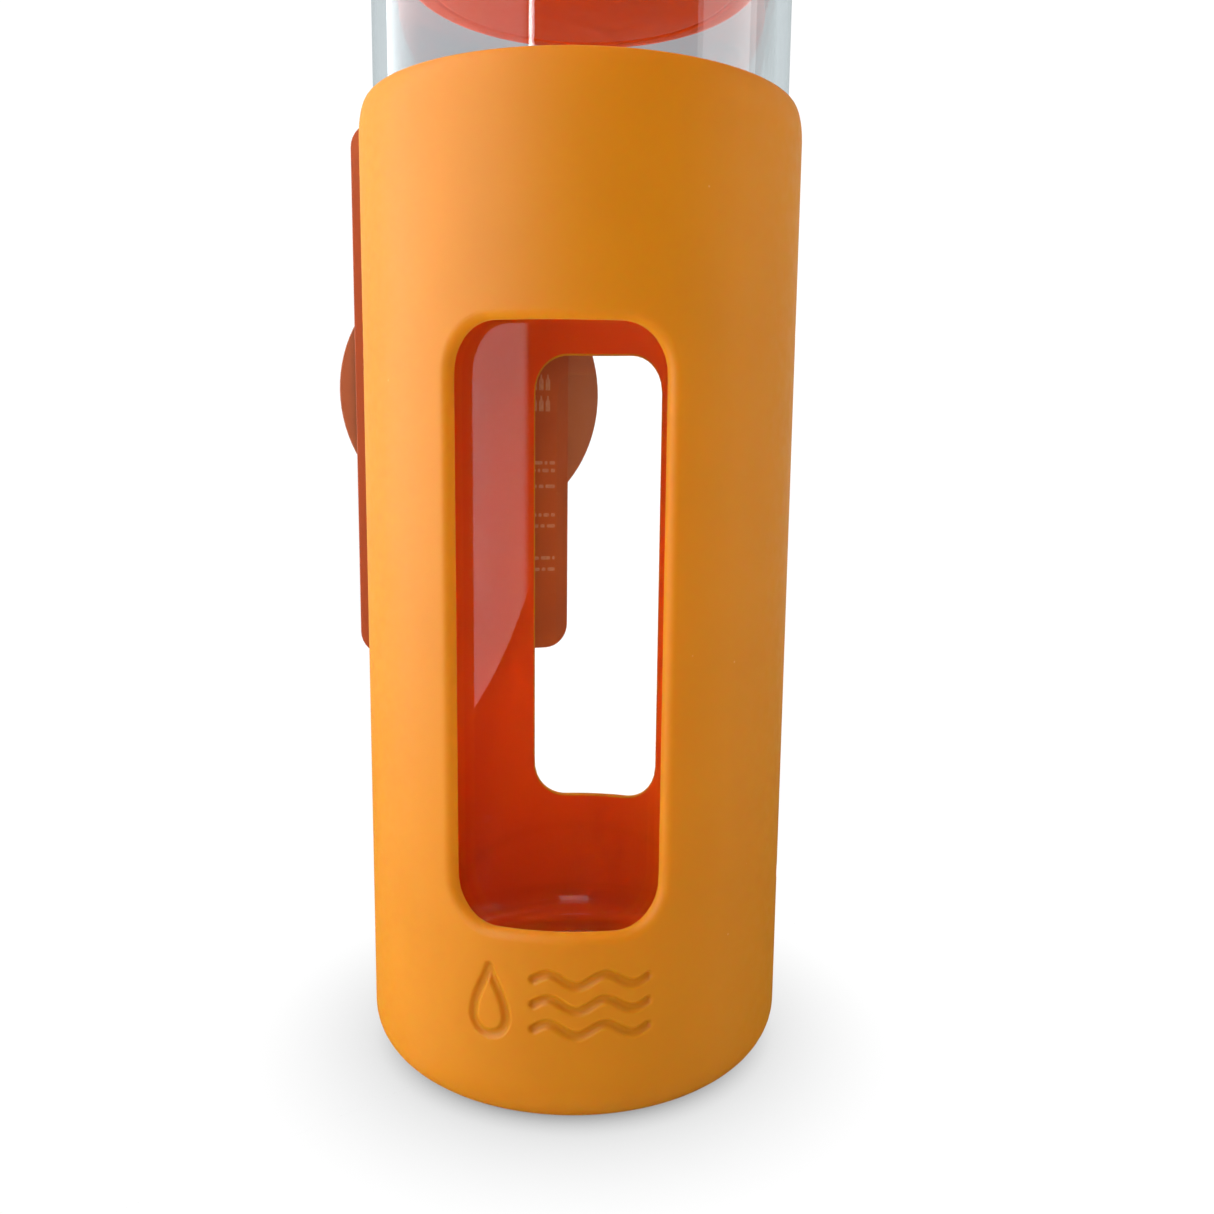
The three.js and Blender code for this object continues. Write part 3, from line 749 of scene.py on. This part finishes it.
def make_lid_shell(material):
    bore = NECK_BORE + NECK_WALL + THREAD_BEAD + 0.4 * MM
    recess = COVER_HIGH.x + GAP
    recess_z = COVER_LOW.z - GAP
    hub_top = SHELL_HIGH.z
    rib_outer = LINER_HIGH.x - LINER_WALL - GAP
    rib_inner = rib_outer - 1 * MM
    rib_low = CEILING_Z - 4 * MM
    core = CEILING_Z + HUB_CORE_DEPTH
    corners = [
        (0, recess_z, 0),
        (0, core, 0),
        (HUB_CORE_RADIUS, core, 0.5 * MM),
        (HUB_CORE_RADIUS, CEILING_Z, 0.3 * MM),
        (rib_inner, CEILING_Z, 0.2 * MM),
        (rib_inner, rib_low, 0.2 * MM),
        (rib_outer, rib_low, 0.2 * MM),
        (rib_outer, CEILING_Z, 0.2 * MM),
        (bore, CEILING_Z, 0.6 * MM),
        (bore, SHELL_LOW.z, 0.3 * MM),
        (SLEEVE_RADIUS, SHELL_LOW.z, 0.6 * MM),
        (SLEEVE_RADIUS, DECK_Z, 1.6 * MM),
        (HUB_RADIUS, DECK_Z, 0.8 * MM),
        (HUB_RADIUS, hub_top, 1.6 * MM),
        (recess, hub_top, 0.3 * MM),
        (recess, recess_z, 0.1 * MM),
    ]
    inside = rounded(corners, 8)[1:]
    profile = []
    for a, b in zip(inside[:-1], inside[1:]):
        on_skirt = min(a[0], b[0]) > SLEEVE_RADIUS - 0.05 * MM
        profile.extend(dense([a, b], 0.4 * MM if on_skirt else 5 * MM)[:-1])
    profile += [inside[-1], np.array((0, recess_z))]
    shell = revolve("lid_shell_body", profile, material, segments=360, displace=flute_depth)
    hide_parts("lid_shell")
    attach(shell, "lid")


def make_lid_liner(material):
    radius, low, high = LINER_HIGH.x, LINER_LOW.z, LINER_HIGH.z
    inner = radius - LINER_WALL
    seal_z = (SEAL_LOW.z + SEAL_HIGH.z) / 2
    seal_section = (SEAL_HIGH.z - SEAL_LOW.z) / 2
    groove = seal_section + GAP
    groove_floor = SEAL_HIGH.x - 2 * seal_section - GAP
    backing = groove_floor - 1.7 * MM
    floor = low + 2.2 * MM
    corners = [
        (0, low, 0),
        (radius - 4.5 * MM, low, 0.6 * MM),
        (radius - 3.9 * MM, low + 0.35 * MM, 0.4 * MM),
        (radius - 3.3 * MM, low, 0.6 * MM),
        (radius, low, 1.2 * MM),
        (radius, seal_z - groove, 0.15 * MM),
        (groove_floor, seal_z - groove, 0.3 * MM),
        (groove_floor, seal_z + groove, 0.3 * MM),
        (radius, seal_z + groove, 0.15 * MM),
        (radius, high, 0.3 * MM),
        (inner, high, 0.3 * MM),
        (inner, CEILING_Z - 4.3 * MM, 0.3 * MM),
        (backing, seal_z + groove, 0.5 * MM),
        (backing, seal_z - groove, 0.5 * MM),
        (inner, seal_z - 2.4 * groove, 0.5 * MM),
        (inner, floor, 1.2 * MM),
        (0, floor, 0),
    ]
    liner = revolve("lid_plug", rounded(corners, 8), material, segments=192)
    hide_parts("lid_liner")
    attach(liner, "lid")


def make_lid_cover(material):
    radius, low, high = COVER_HIGH.x, COVER_LOW.z, COVER_HIGH.z
    edge = high - 0.5 * MM
    profile = rounded([
        (0, low, 0),
        (radius, low, 0.2 * MM),
        (radius, edge, 0.35 * MM),
        (20.5 * MM, edge + 0.12 * MM, 0.4 * MM),
        (20.1 * MM, edge - 0.3 * MM, 0.2 * MM),
        (19.3 * MM, edge - 0.3 * MM, 0.2 * MM),
        (18.9 * MM, edge + 0.16 * MM, 0.4 * MM),
        (9 * MM, high - 0.06 * MM, 20 * MM),
        (0, high, 0),
    ], 8)
    cover = revolve("lid_cover_disc", profile, material, segments=192)
    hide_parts("lid_cover")
    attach(cover, "lid")


def make_seals(material):
    section = (SEAL_HIGH.z - SEAL_LOW.z) / 2
    middle = (SEAL_HIGH.x - section, (SEAL_HIGH.z + SEAL_LOW.z) / 2)
    circle = [
        (middle[0] + section * math.cos(a), middle[1] + section * math.sin(a))
        for a in np.linspace(0, 2 * math.pi, 24, endpoint=False)
    ]
    ring = revolve("plug_seal", circle, material, segments=160, closed=True)
    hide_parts("plug_seal_ring")
    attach(ring, "plug_seal")

    inner, outer = NECK_BORE + GAP, GASKET_HIGH.x
    low, high = GASKET_LOW.z, GASKET_HIGH.z
    corners = [
        (inner, low, 0.35 * MM),
        (outer, low, 0.35 * MM),
        (outer, high, 0.35 * MM),
        (inner, high, 0.35 * MM),
    ]
    gasket = revolve("rim_washer", rounded(corners, 5), material, segments=160, closed=True)
    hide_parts("rim_gasket")
    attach(gasket, "rim_seal")


# -------------------- carry loop and pins


def superellipse(half_width, half_height):
    count, power = 40, 3.2
    t = np.linspace(0, 2 * math.pi, count, endpoint=False)
    across = np.sign(np.cos(t)) * np.abs(np.cos(t)) ** (2 / power)
    along = np.sign(np.sin(t)) * np.abs(np.sin(t)) ** (2 / power)
    return np.stack([half_width * across, half_height * along], -1)


def rod_along_x(name, profile, centre_z, side, material):
    """A piece turned about the X axis at a height: profile is (radius, x), mirrored to a side."""
    turn = Matrix(((0, 0, side, 0), (side, 0, 0, 0), (0, 1, 0, centre_z), (0, 0, 0, 1)))
    return place(revolve(name, profile, material, segments=64), turn)


def boolean(piece, other, operation):
    modifier = piece.modifiers.new("cut", "BOOLEAN")
    modifier.operation = operation
    modifier.solver = "EXACT"
    modifier.object = other
    apply_modifiers(piece)
    bpy.data.objects.remove(other)


def merge(piece, other):
    """Adds another piece's faces to a piece, for a remesh that fuses them."""
    joined = bmesh.new()
    joined.from_mesh(piece.data)
    joined.from_mesh(other.data)
    joined.to_mesh(piece.data)
    joined.free()
    bpy.data.objects.remove(other)


def apply_modifiers(piece):
    graph = bpy.context.evaluated_depsgraph_get()
    mesh = bpy.data.meshes.new_from_object(piece.evaluated_get(graph))
    piece.modifiers.clear()
    piece.data = mesh


def make_loop(material):
    inner = HUB_RADIUS + LOOP_CLEARANCE
    middle = inner + LOOP_WIDTH / 2
    section = superellipse(LOOP_WIDTH / 2, LOOP_THICKNESS / 2)
    sweep = np.linspace(0, math.pi, 97)
    points = np.array([
        [((middle + u) * math.cos(a), (middle + u) * math.sin(a), PIVOT_Z + v) for u, v in section]
        for a in sweep
    ])
    count = len(section)
    faces = grid_faces(len(sweep), count, close_columns=True)
    faces.append(tuple(range(count)))
    faces.append(tuple(range((len(sweep) - 1) * count, len(sweep) * count)))
    loop = mesh_piece("loop_body", points.reshape(-1, 3), faces, material)
    for side in (-1, 1):
        eye = rounded([
            (0, inner, 0),
            (EYE_RADIUS, inner, 0.8 * MM),
            (EYE_RADIUS, LOOP_HIGH.x - 0.05 * MM, 0.8 * MM),
            (0, LOOP_HIGH.x - 0.05 * MM, 0),
        ], 6)
        merge(loop, rod_along_x("eye", eye, PIVOT_Z, side, material))
    remesh = loop.modifiers.new("remesh", "REMESH")
    remesh.mode = "VOXEL"
    remesh.voxel_size = 0.3 * MM
    smooth = loop.modifiers.new("smooth", "CORRECTIVE_SMOOTH")
    smooth.iterations = 10
    smooth.use_only_smooth = True
    apply_modifiers(loop)
    for side in (-1, 1):
        seat_x = PIN_HIGH.x - PIN_HEAD_THICKNESS - GAP
        hole = rounded([
            (0, inner - 1 * MM, 0),
            (PIN_RADIUS + GAP, inner - 1 * MM, 0),
            (PIN_RADIUS + GAP, seat_x, 0),
            (PIN_HEAD_RADIUS + GAP, seat_x, 0),
            (PIN_HEAD_RADIUS + GAP, LOOP_HIGH.x + 1 * MM, 0),
            (0, LOOP_HIGH.x + 1 * MM, 0),
        ])
        boolean(loop, rod_along_x("hole", hole, PIVOT_Z, side, material), "DIFFERENCE")
    sharp_shading(loop, 35)
    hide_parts("carry_loop")
    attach(loop, "loop")


def make_pins(material):
    head_x = PIN_HIGH.x - PIN_HEAD_THICKNESS
    for side, node in ((-1, "loop_pin_left"), (1, "loop_pin_right")):
        profile = rounded([
            (0, PIN_LOW.x, 0),
            (PIN_RADIUS, PIN_LOW.x, 0.4 * MM),
            (PIN_RADIUS, head_x, 0.1 * MM),
            (PIN_HEAD_RADIUS, head_x, 0.15 * MM),
            (PIN_HEAD_RADIUS, PIN_HIGH.x - 0.25 * MM, 0.3 * MM),
            (1.3 * MM, PIN_HIGH.x, 1.2 * MM),
            (0.9 * MM, PIN_HIGH.x - 0.35 * MM, 0.2 * MM),
            (0, PIN_HIGH.x - 0.35 * MM, 0),
        ], 5)
        pin = rod_along_x(node + "_turned", profile, PIVOT_Z, side, material)
        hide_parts(node)
        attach(pin, "lid")


# -------------------- card tag


def tag_matrix(out):
    """Places a flat piece (x along the card, y up, z out from the bottle) at a distance from the axis."""
    along = Vector((-math.cos(TAG_ANGLE), -math.sin(TAG_ANGLE), 0))
    outward = Vector((-math.sin(TAG_ANGLE), math.cos(TAG_ANGLE), 0))
    turn = Matrix((along, Vector((0, 0, 1)), outward)).transposed().to_4x4()
    return Matrix.Translation(outward * out) @ turn


def rounded_rectangle(x, y, width, height, radius, steps=8):
    left, right = x - width / 2, x + width / 2
    low, high = y - height / 2, y + height / 2
    corners = [(left, low, radius), (right, low, radius), (right, high, radius), (left, high, radius)]
    return rounded(corners, steps)


def circle_outline(x, y, radius, count=96):
    angles = np.linspace(0, 2 * math.pi, count, endpoint=False)
    return [(x + radius * math.cos(a), y + radius * math.sin(a)) for a in angles]


def bottle_icon(x, y, height):
    """Outline of a plain bottle pictogram standing on y."""
    half = 0.16 * height
    neck = 0.06 * height
    corners = [
        (x - half, y, 0.03 * height),
        (x + half, y, 0.03 * height),
        (x + half, y + 0.62 * height, 0.12 * height),
        (x + neck, y + 0.8 * height, 0.05 * height),
        (x + neck, y + height, 0.01 * height),
        (x - neck, y + height, 0.01 * height),
        (x - neck, y + 0.8 * height, 0.05 * height),
        (x - half, y + 0.62 * height, 0.12 * height),
    ]
    return rounded(corners, 4)


def drop_icon(x, y, height):
    t = np.linspace(0, 2 * math.pi, 48, endpoint=False)
    across = 0.38 * height * np.sin(t) * np.sin(t / 2) ** 1.6
    along = 0.5 * height * np.cos(t)
    return list(zip(x - across, y + along))


def ink_layer(name, outlines, matrix, material):
    """Thin raised ink: one flat slab for each outline, joined in one piece."""
    vertices, faces = [], []
    for outline in outlines:
        count = len(outline)
        start = len(vertices)
        vertices += [(x, y, 0.0) for x, y in outline]
        vertices += [(x, y, INK_THICKNESS) for x, y in outline]
        faces.append(tuple(range(start + count - 1, start - 1, -1)))
        faces.append(tuple(range(start + count, start + 2 * count)))
        faces += grid_faces(2, count, start, close_columns=True)
    ink = mesh_piece(name, vertices, faces, material)
    sharp_shading(ink, 30)
    place(ink, matrix)
    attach(ink, "sleeve")


def make_tag(card, disc_card, ink, foam):
    low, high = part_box("tag_card")
    middle_z = (low.z + high.z) / 2
    height = high.z - low.z
    face = SLEEVE_RADIUS + TAG_BACK
    outline = rounded_rectangle(TAG_SIDE_SHIFT, middle_z, TAG_WIDTH, height, TAG_CORNER)
    board = plate("tag_board", outline, TAG_THICKNESS, 0.12 * MM, card)
    sharp_shading(board, 40)
    place(board, tag_matrix(face))
    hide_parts("tag_card")
    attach(board, "sleeve")

    disc_low, disc_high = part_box("tag_disc")
    disc_z, radius = (disc_low.z + disc_high.z) / 2, (disc_high.z - disc_low.z) / 2
    disc_face = face + TAG_THICKNESS + DISC_SPACE
    round_board = plate("tag_round_board", circle_outline(DISC_SHIFT, disc_z, radius),
                        DISC_THICKNESS, 0.15 * MM, disc_card)
    sharp_shading(round_board, 40)
    place(round_board, tag_matrix(disc_face))
    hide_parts("tag_disc")
    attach(round_board, "sleeve")

    pad_low, pad_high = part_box("tag_disc_pad")
    pad_radius = (pad_high.z - pad_low.z) / 2
    pad = plate("tag_round_pad", circle_outline(DISC_SHIFT, disc_z, pad_radius, 64),
                PAD_THICKNESS, 0.12 * MM, foam)
    place(pad, tag_matrix(face + TAG_THICKNESS + GAP))
    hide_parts("tag_disc_pad")
    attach(pad, "sleeve")

    for node in ("tag_dot_lower", "tag_dot_upper"):
        dot_low, dot_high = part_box(node)
        dot_z, dot_radius = (dot_low.z + dot_high.z) / 2, (dot_high.z - dot_low.z) / 2
        dot = plate(node + "_foam", circle_outline(0, dot_z, dot_radius, 48), DOT_THICKNESS, 0.2 * MM, foam)
        place(dot, tag_matrix(SLEEVE_RADIUS + GAP))
        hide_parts(node)
        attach(dot, "sleeve")

    make_tag_prints(face, disc_face, disc_z, ink)


def make_tag_prints(face, disc_face, disc_z, ink):
    """Generic pictograms and rows of plain dashes on the side facing the bottle; a drop on the disc."""
    edge = TAG_SIDE_SHIFT - TAG_WIDTH / 2
    inner = []
    for row in range(2):
        for column in range(5):
            foot = (118.9 - 4.3 * row) * MM
            inner.append(bottle_icon(edge + (4.7 + 1.5 * column) * MM, foot, 3.2 * MM))
    dashes = (1.3, 0.7, 1.9, 1.0, 1.5, 0.6, 2.2, 1.1, 1.7, 0.9)
    rows = ((104.0, 7), (102.4, 9), (99.1, 4), (93.1, 6), (90.8, 5), (84.0, 8), (81.6, 7))
    for k, (height, count) in enumerate(rows):
        x = edge + 3.0 * MM
        for j in range(count):
            width = dashes[(3 * k + j) % len(dashes)] * MM
            inner.append(rounded_rectangle(x + width / 2, height * MM, width, 0.75 * MM, 0.25 * MM, 2))
            x += width + 0.45 * MM
    back = Matrix.Translation(Vector((0, 0, -0.05 * MM)))
    ink_layer("tag_ink_inside", inner, tag_matrix(face) @ back, ink)

    radius = 21.5 * MM
    outer = [drop_icon(DISC_SHIFT, disc_z, 20 * MM)]
    dots = 36
    for k in range(dots):
        a = 2 * math.pi * k / dots
        x, y = DISC_SHIFT + radius * math.cos(a), disc_z + radius * math.sin(a)
        outer.append(circle_outline(x, y, 0.7 * MM, 12))
    ink_layer("tag_ink_outside", outer, tag_matrix(disc_face + DISC_THICKNESS + 0.01 * MM), ink)


# -------------------- stage


def direction_point(azimuth, distance, height):
    """A point seen from the bottle at an azimuth from the camera's side, positive to the camera's right."""
    a = CAMERA_ORBIT + math.radians(azimuth)
    return Vector((distance * math.sin(a), -distance * math.cos(a), height))


def area_light(name, size, radiance):
    """A rectangular softbox that lights along its own -Z."""
    data = bpy.data.lights.new(name, "AREA")
    data.shape = "RECTANGLE"
    data.size, data.size_y = size
    data.energy = radiance * math.pi * size[0] * size[1]
    light = bpy.data.objects.new(name, data)
    bpy.context.scene.collection.objects.link(light)
    return light


def softbox(name, azimuth, distance, height, size, radiance, aim=0.10):
    """A softbox turned towards the height aim on the bottle's axis."""
    light = area_light(name, size, radiance)
    light.location = direction_point(azimuth, distance, height)
    towards = Vector((0, 0, aim)) - light.location
    light.rotation_euler = towards.to_track_quat("-Z", "Y").to_euler()


def side_box(name, side_x, span, heights, radiance, tilt=0.0):
    """An upright softbox in a plane to one side, between two distances towards the camera's side.

    A tilt in degrees raises the end on the side away from the camera; a negative one lowers it.
    """
    light = area_light(name, (span[1] - span[0], heights[1] - heights[0]), radiance)
    turn = Matrix.Rotation(CAMERA_ORBIT, 4, "Z")
    spot = Matrix.Translation((side_x, -(span[0] + span[1]) / 2, (heights[0] + heights[1]) / 2))
    facing = Vector((-side_x, 0, 0)).to_track_quat("-Z", "Y").to_matrix().to_4x4()
    lean = Matrix.Rotation(math.radians(tilt), 4, "X")
    light.matrix_world = turn @ spot @ lean @ facing
    return light


def soften_end(light, edge, full):
    """Makes a light grow along Y from nothing at edge to its full strength at full."""
    light.data.use_nodes = True
    tree = light.data.node_tree
    place_node = tree.nodes.new("ShaderNodeNewGeometry")
    split = tree.nodes.new("ShaderNodeSeparateXYZ")
    tree.links.new(place_node.outputs["Position"], split.inputs["Vector"])
    strength = ramp(tree, split.outputs["Y"], edge, full, 0.0, 1.0)
    tree.links.new(strength, tree.nodes["Emission"].inputs["Strength"])


def make_lights():
    """Softboxes and a broad overhead light. The left box is two: one lights, the other is reflected."""
    side_x, span, heights, tilt = -0.30, (-0.25, 0.60), (-0.009, 0.75), -2.2
    key = side_box("key_left", side_x, span, heights, 2.2, tilt)
    key.visible_glossy = False
    shine = side_box("key_left_shine", side_x, span, heights, 7.0, tilt)
    shine.visible_diffuse = False
    for box in (key, shine):
        soften_end(box, -0.61, -0.50)
    side_box("fill_right", 0.55, (-0.12, 0.27), (0.0, 0.6), 1.7)
    softbox("front_high", 10, 0.70, 0.95, (0.6, 0.4), 0.9)
    softbox("strip_front", -26, 0.75, 0.46, (0.02, 0.12), 25.0, aim=0.18)
    data = bpy.data.lights.new("overhead", "SUN")
    data.angle = math.radians(80)
    data.energy = 0.35
    sun = bpy.data.objects.new("overhead", data)
    sun.rotation_euler = (math.radians(-12), math.radians(-8), 0)
    bpy.context.scene.collection.objects.link(sun)


def seen_directly(tree):
    """1 for what is seen straight or through clear glass and 0 for bounced light, with the Light Path node."""
    path = tree.nodes.new("ShaderNodeLightPath")
    bounces = node_math(tree, "ADD", path.outputs["Diffuse Depth"], path.outputs["Glossy Depth"])
    return node_math(tree, "LESS_THAN", bounces, 0.5), path


def make_world():
    """What light paths that leave the scene meet, by the kind of path; none of it is a measured studio.

    The camera sees plain white. Through the glass it sees a white backdrop, greyer high up and in front.
    Bounced light meets a dim room, brighter behind the bottle. Diffuse light that leaves through the
    glass meets a strong warm glow, which isn't physical: it brightens what stands behind the glass.
    """
    world = bpy.data.worlds.new("studio")
    bpy.context.scene.world = world
    world.use_nodes = True
    tree = world.node_tree
    background = tree.nodes["Background"]
    coordinates = tree.nodes.new("ShaderNodeTexCoord")
    split = tree.nodes.new("ShaderNodeSeparateXYZ")
    tree.links.new(coordinates.outputs["Generated"], split.inputs["Vector"])
    x, y, z = split.outputs
    room = blend(tree, ramp(tree, y, -0.2, 0.6, 0, 1), (0.055, 0.055, 0.055), (0.26, 0.26, 0.27))
    high = blend(tree, ramp(tree, x, -0.3, 0.5, 0, 1), (0.33, 0.41, 0.45), (0.42, 0.45, 0.455))
    backdrop = blend(tree, ramp(tree, z, 0.15, 0.30, 0, 1), (1.3, 1.3, 1.3), high)
    through = blend(tree, ramp(tree, y, -0.1, 0.3, 0, 1), (0.34, 0.38, 0.40), backdrop)
    direct, path = seen_directly(tree)
    behind = node_math(tree, "MULTIPLY", ramp(tree, y, 0.0, 0.5, 0, 1), ramp(tree, z, -0.3, -0.05, 0, 1))
    mirrored = blend(tree, behind, (0.02, 0.02, 0.02), (0.62, 0.68, 0.70))
    room = blend(tree, path.outputs["Is Glossy Ray"], room, mirrored)
    indoors = node_math(tree, "MULTIPLY", path.outputs["Is Transmission Ray"],
                        node_math(tree, "GREATER_THAN", path.outputs["Diffuse Depth"], 0.5))
    ahead = node_math(tree, "MULTIPLY", ramp(tree, y, -0.2, 0.2, 1, 0.3),
                      ramp(tree, node_math(tree, "ABSOLUTE", x), 0.3, 0.6, 1, 0.15))
    indoors = node_math(tree, "MULTIPLY", indoors, ahead)
    ambient = blend(tree, indoors, room, (13.0, 8.8, 3.6))
    shown = blend(tree, path.outputs["Is Camera Ray"], through, (1.05, 1.05, 1.05))
    tree.links.new(blend(tree, direct, ambient, shown), background.inputs["Color"])


def make_floor():
    """Wide white ground with a painted soft contact shadow, left out of reflections."""
    half = 6.0
    mesh = bpy.data.meshes.new("floor")
    corners = [(-half, -half, 0), (half, -half, 0), (half, half, 0), (-half, half, 0)]
    mesh.from_pydata(corners, [], [(0, 1, 2, 3)])
    floor = bpy.data.objects.new("floor", mesh)
    floor.location.z = -0.1 * MM
    bpy.context.scene.collection.objects.link(floor)
    shader = Shader("white_ground", Roughness=0.9, Specular_IOR_Level=0.0)
    shader.colour(shader.mix(shader.noise(6), (0.80, 0.80, 0.80), (0.84, 0.84, 0.84)))
    tree = shader.tree
    # Painted contact shadow: ambient occlusion dims the floor's glow near the bottle.
    occlusion = tree.nodes.new("ShaderNodeAmbientOcclusion")
    occlusion.samples = 16
    occlusion.inputs["Distance"].default_value = 0.026
    shade = node_math(tree, "POWER", occlusion.outputs["AO"], 0.43)
    direct, path = seen_directly(tree)
    shown = blend(tree, path.outputs["Is Camera Ray"], (1.3, 1.3, 1.3), (1.02, 1.02, 1.02))
    glow = tree.nodes.new("ShaderNodeEmission")
    tree.links.new(shown, glow.inputs["Color"])
    tree.links.new(shade, glow.inputs["Strength"])
    unseen = tree.nodes.new("ShaderNodeBsdfTransparent")
    bounced = tree.nodes.new("ShaderNodeMixShader")
    tree.links.new(node_math(tree, "GREATER_THAN", path.outputs["Glossy Depth"], 0.5), bounced.inputs["Fac"])
    tree.links.new(shader.principled.outputs["BSDF"], bounced.inputs[1])
    tree.links.new(unseen.outputs["BSDF"], bounced.inputs[2])
    surface = tree.nodes.new("ShaderNodeMixShader")
    tree.links.new(direct, surface.inputs["Fac"])
    tree.links.new(bounced.outputs["Shader"], surface.inputs[1])
    tree.links.new(glow.outputs["Emission"], surface.inputs[2])
    tree.links.new(surface.outputs["Shader"], tree.nodes["Material Output"].inputs["Surface"])
    mesh.materials.append(shader.material)


# -------------------- build

make_camera()
bpy.context.scene.view_settings.view_transform = "Standard"

make_sleeve(
    silicone_material("orange_silicone", (0.655, 0.228, 0.002), (0.695, 0.246, 0.003), (0.84, 0.46, 0.14)),
    # The inside skin is the same silicone painted deeper and redder: painted light bounced between the orange
    # walls, with their shade.
    silicone_material(
        "orange_silicone_inside_painted_bounce_light", (0.88, 0.080, 0.001), (0.92, 0.092, 0.001), (0.88, 0.16, 0.02)
    ),
)
make_glass(glass_material())
gloss = lid_material()
make_lid_shell(gloss)
make_lid_liner(gloss)
make_lid_cover(gloss)
make_seals(seal_material())
make_loop(loop_material())
make_pins(steel_material())
make_tag(
    card_material("printed_board", (0.52, 0.088, 0.001), (0.46, 0.074, 0.001)),
    # The round board's paler, greyer orange is partly its own colour and partly a painted sheen of grazing
    # light.
    card_material("plain_board_part_painted_sheen", (0.50, 0.125, 0.026), (0.45, 0.111, 0.022)),
    print_material(),
    foam_material(),
)
make_lights()
make_world()
make_floor()
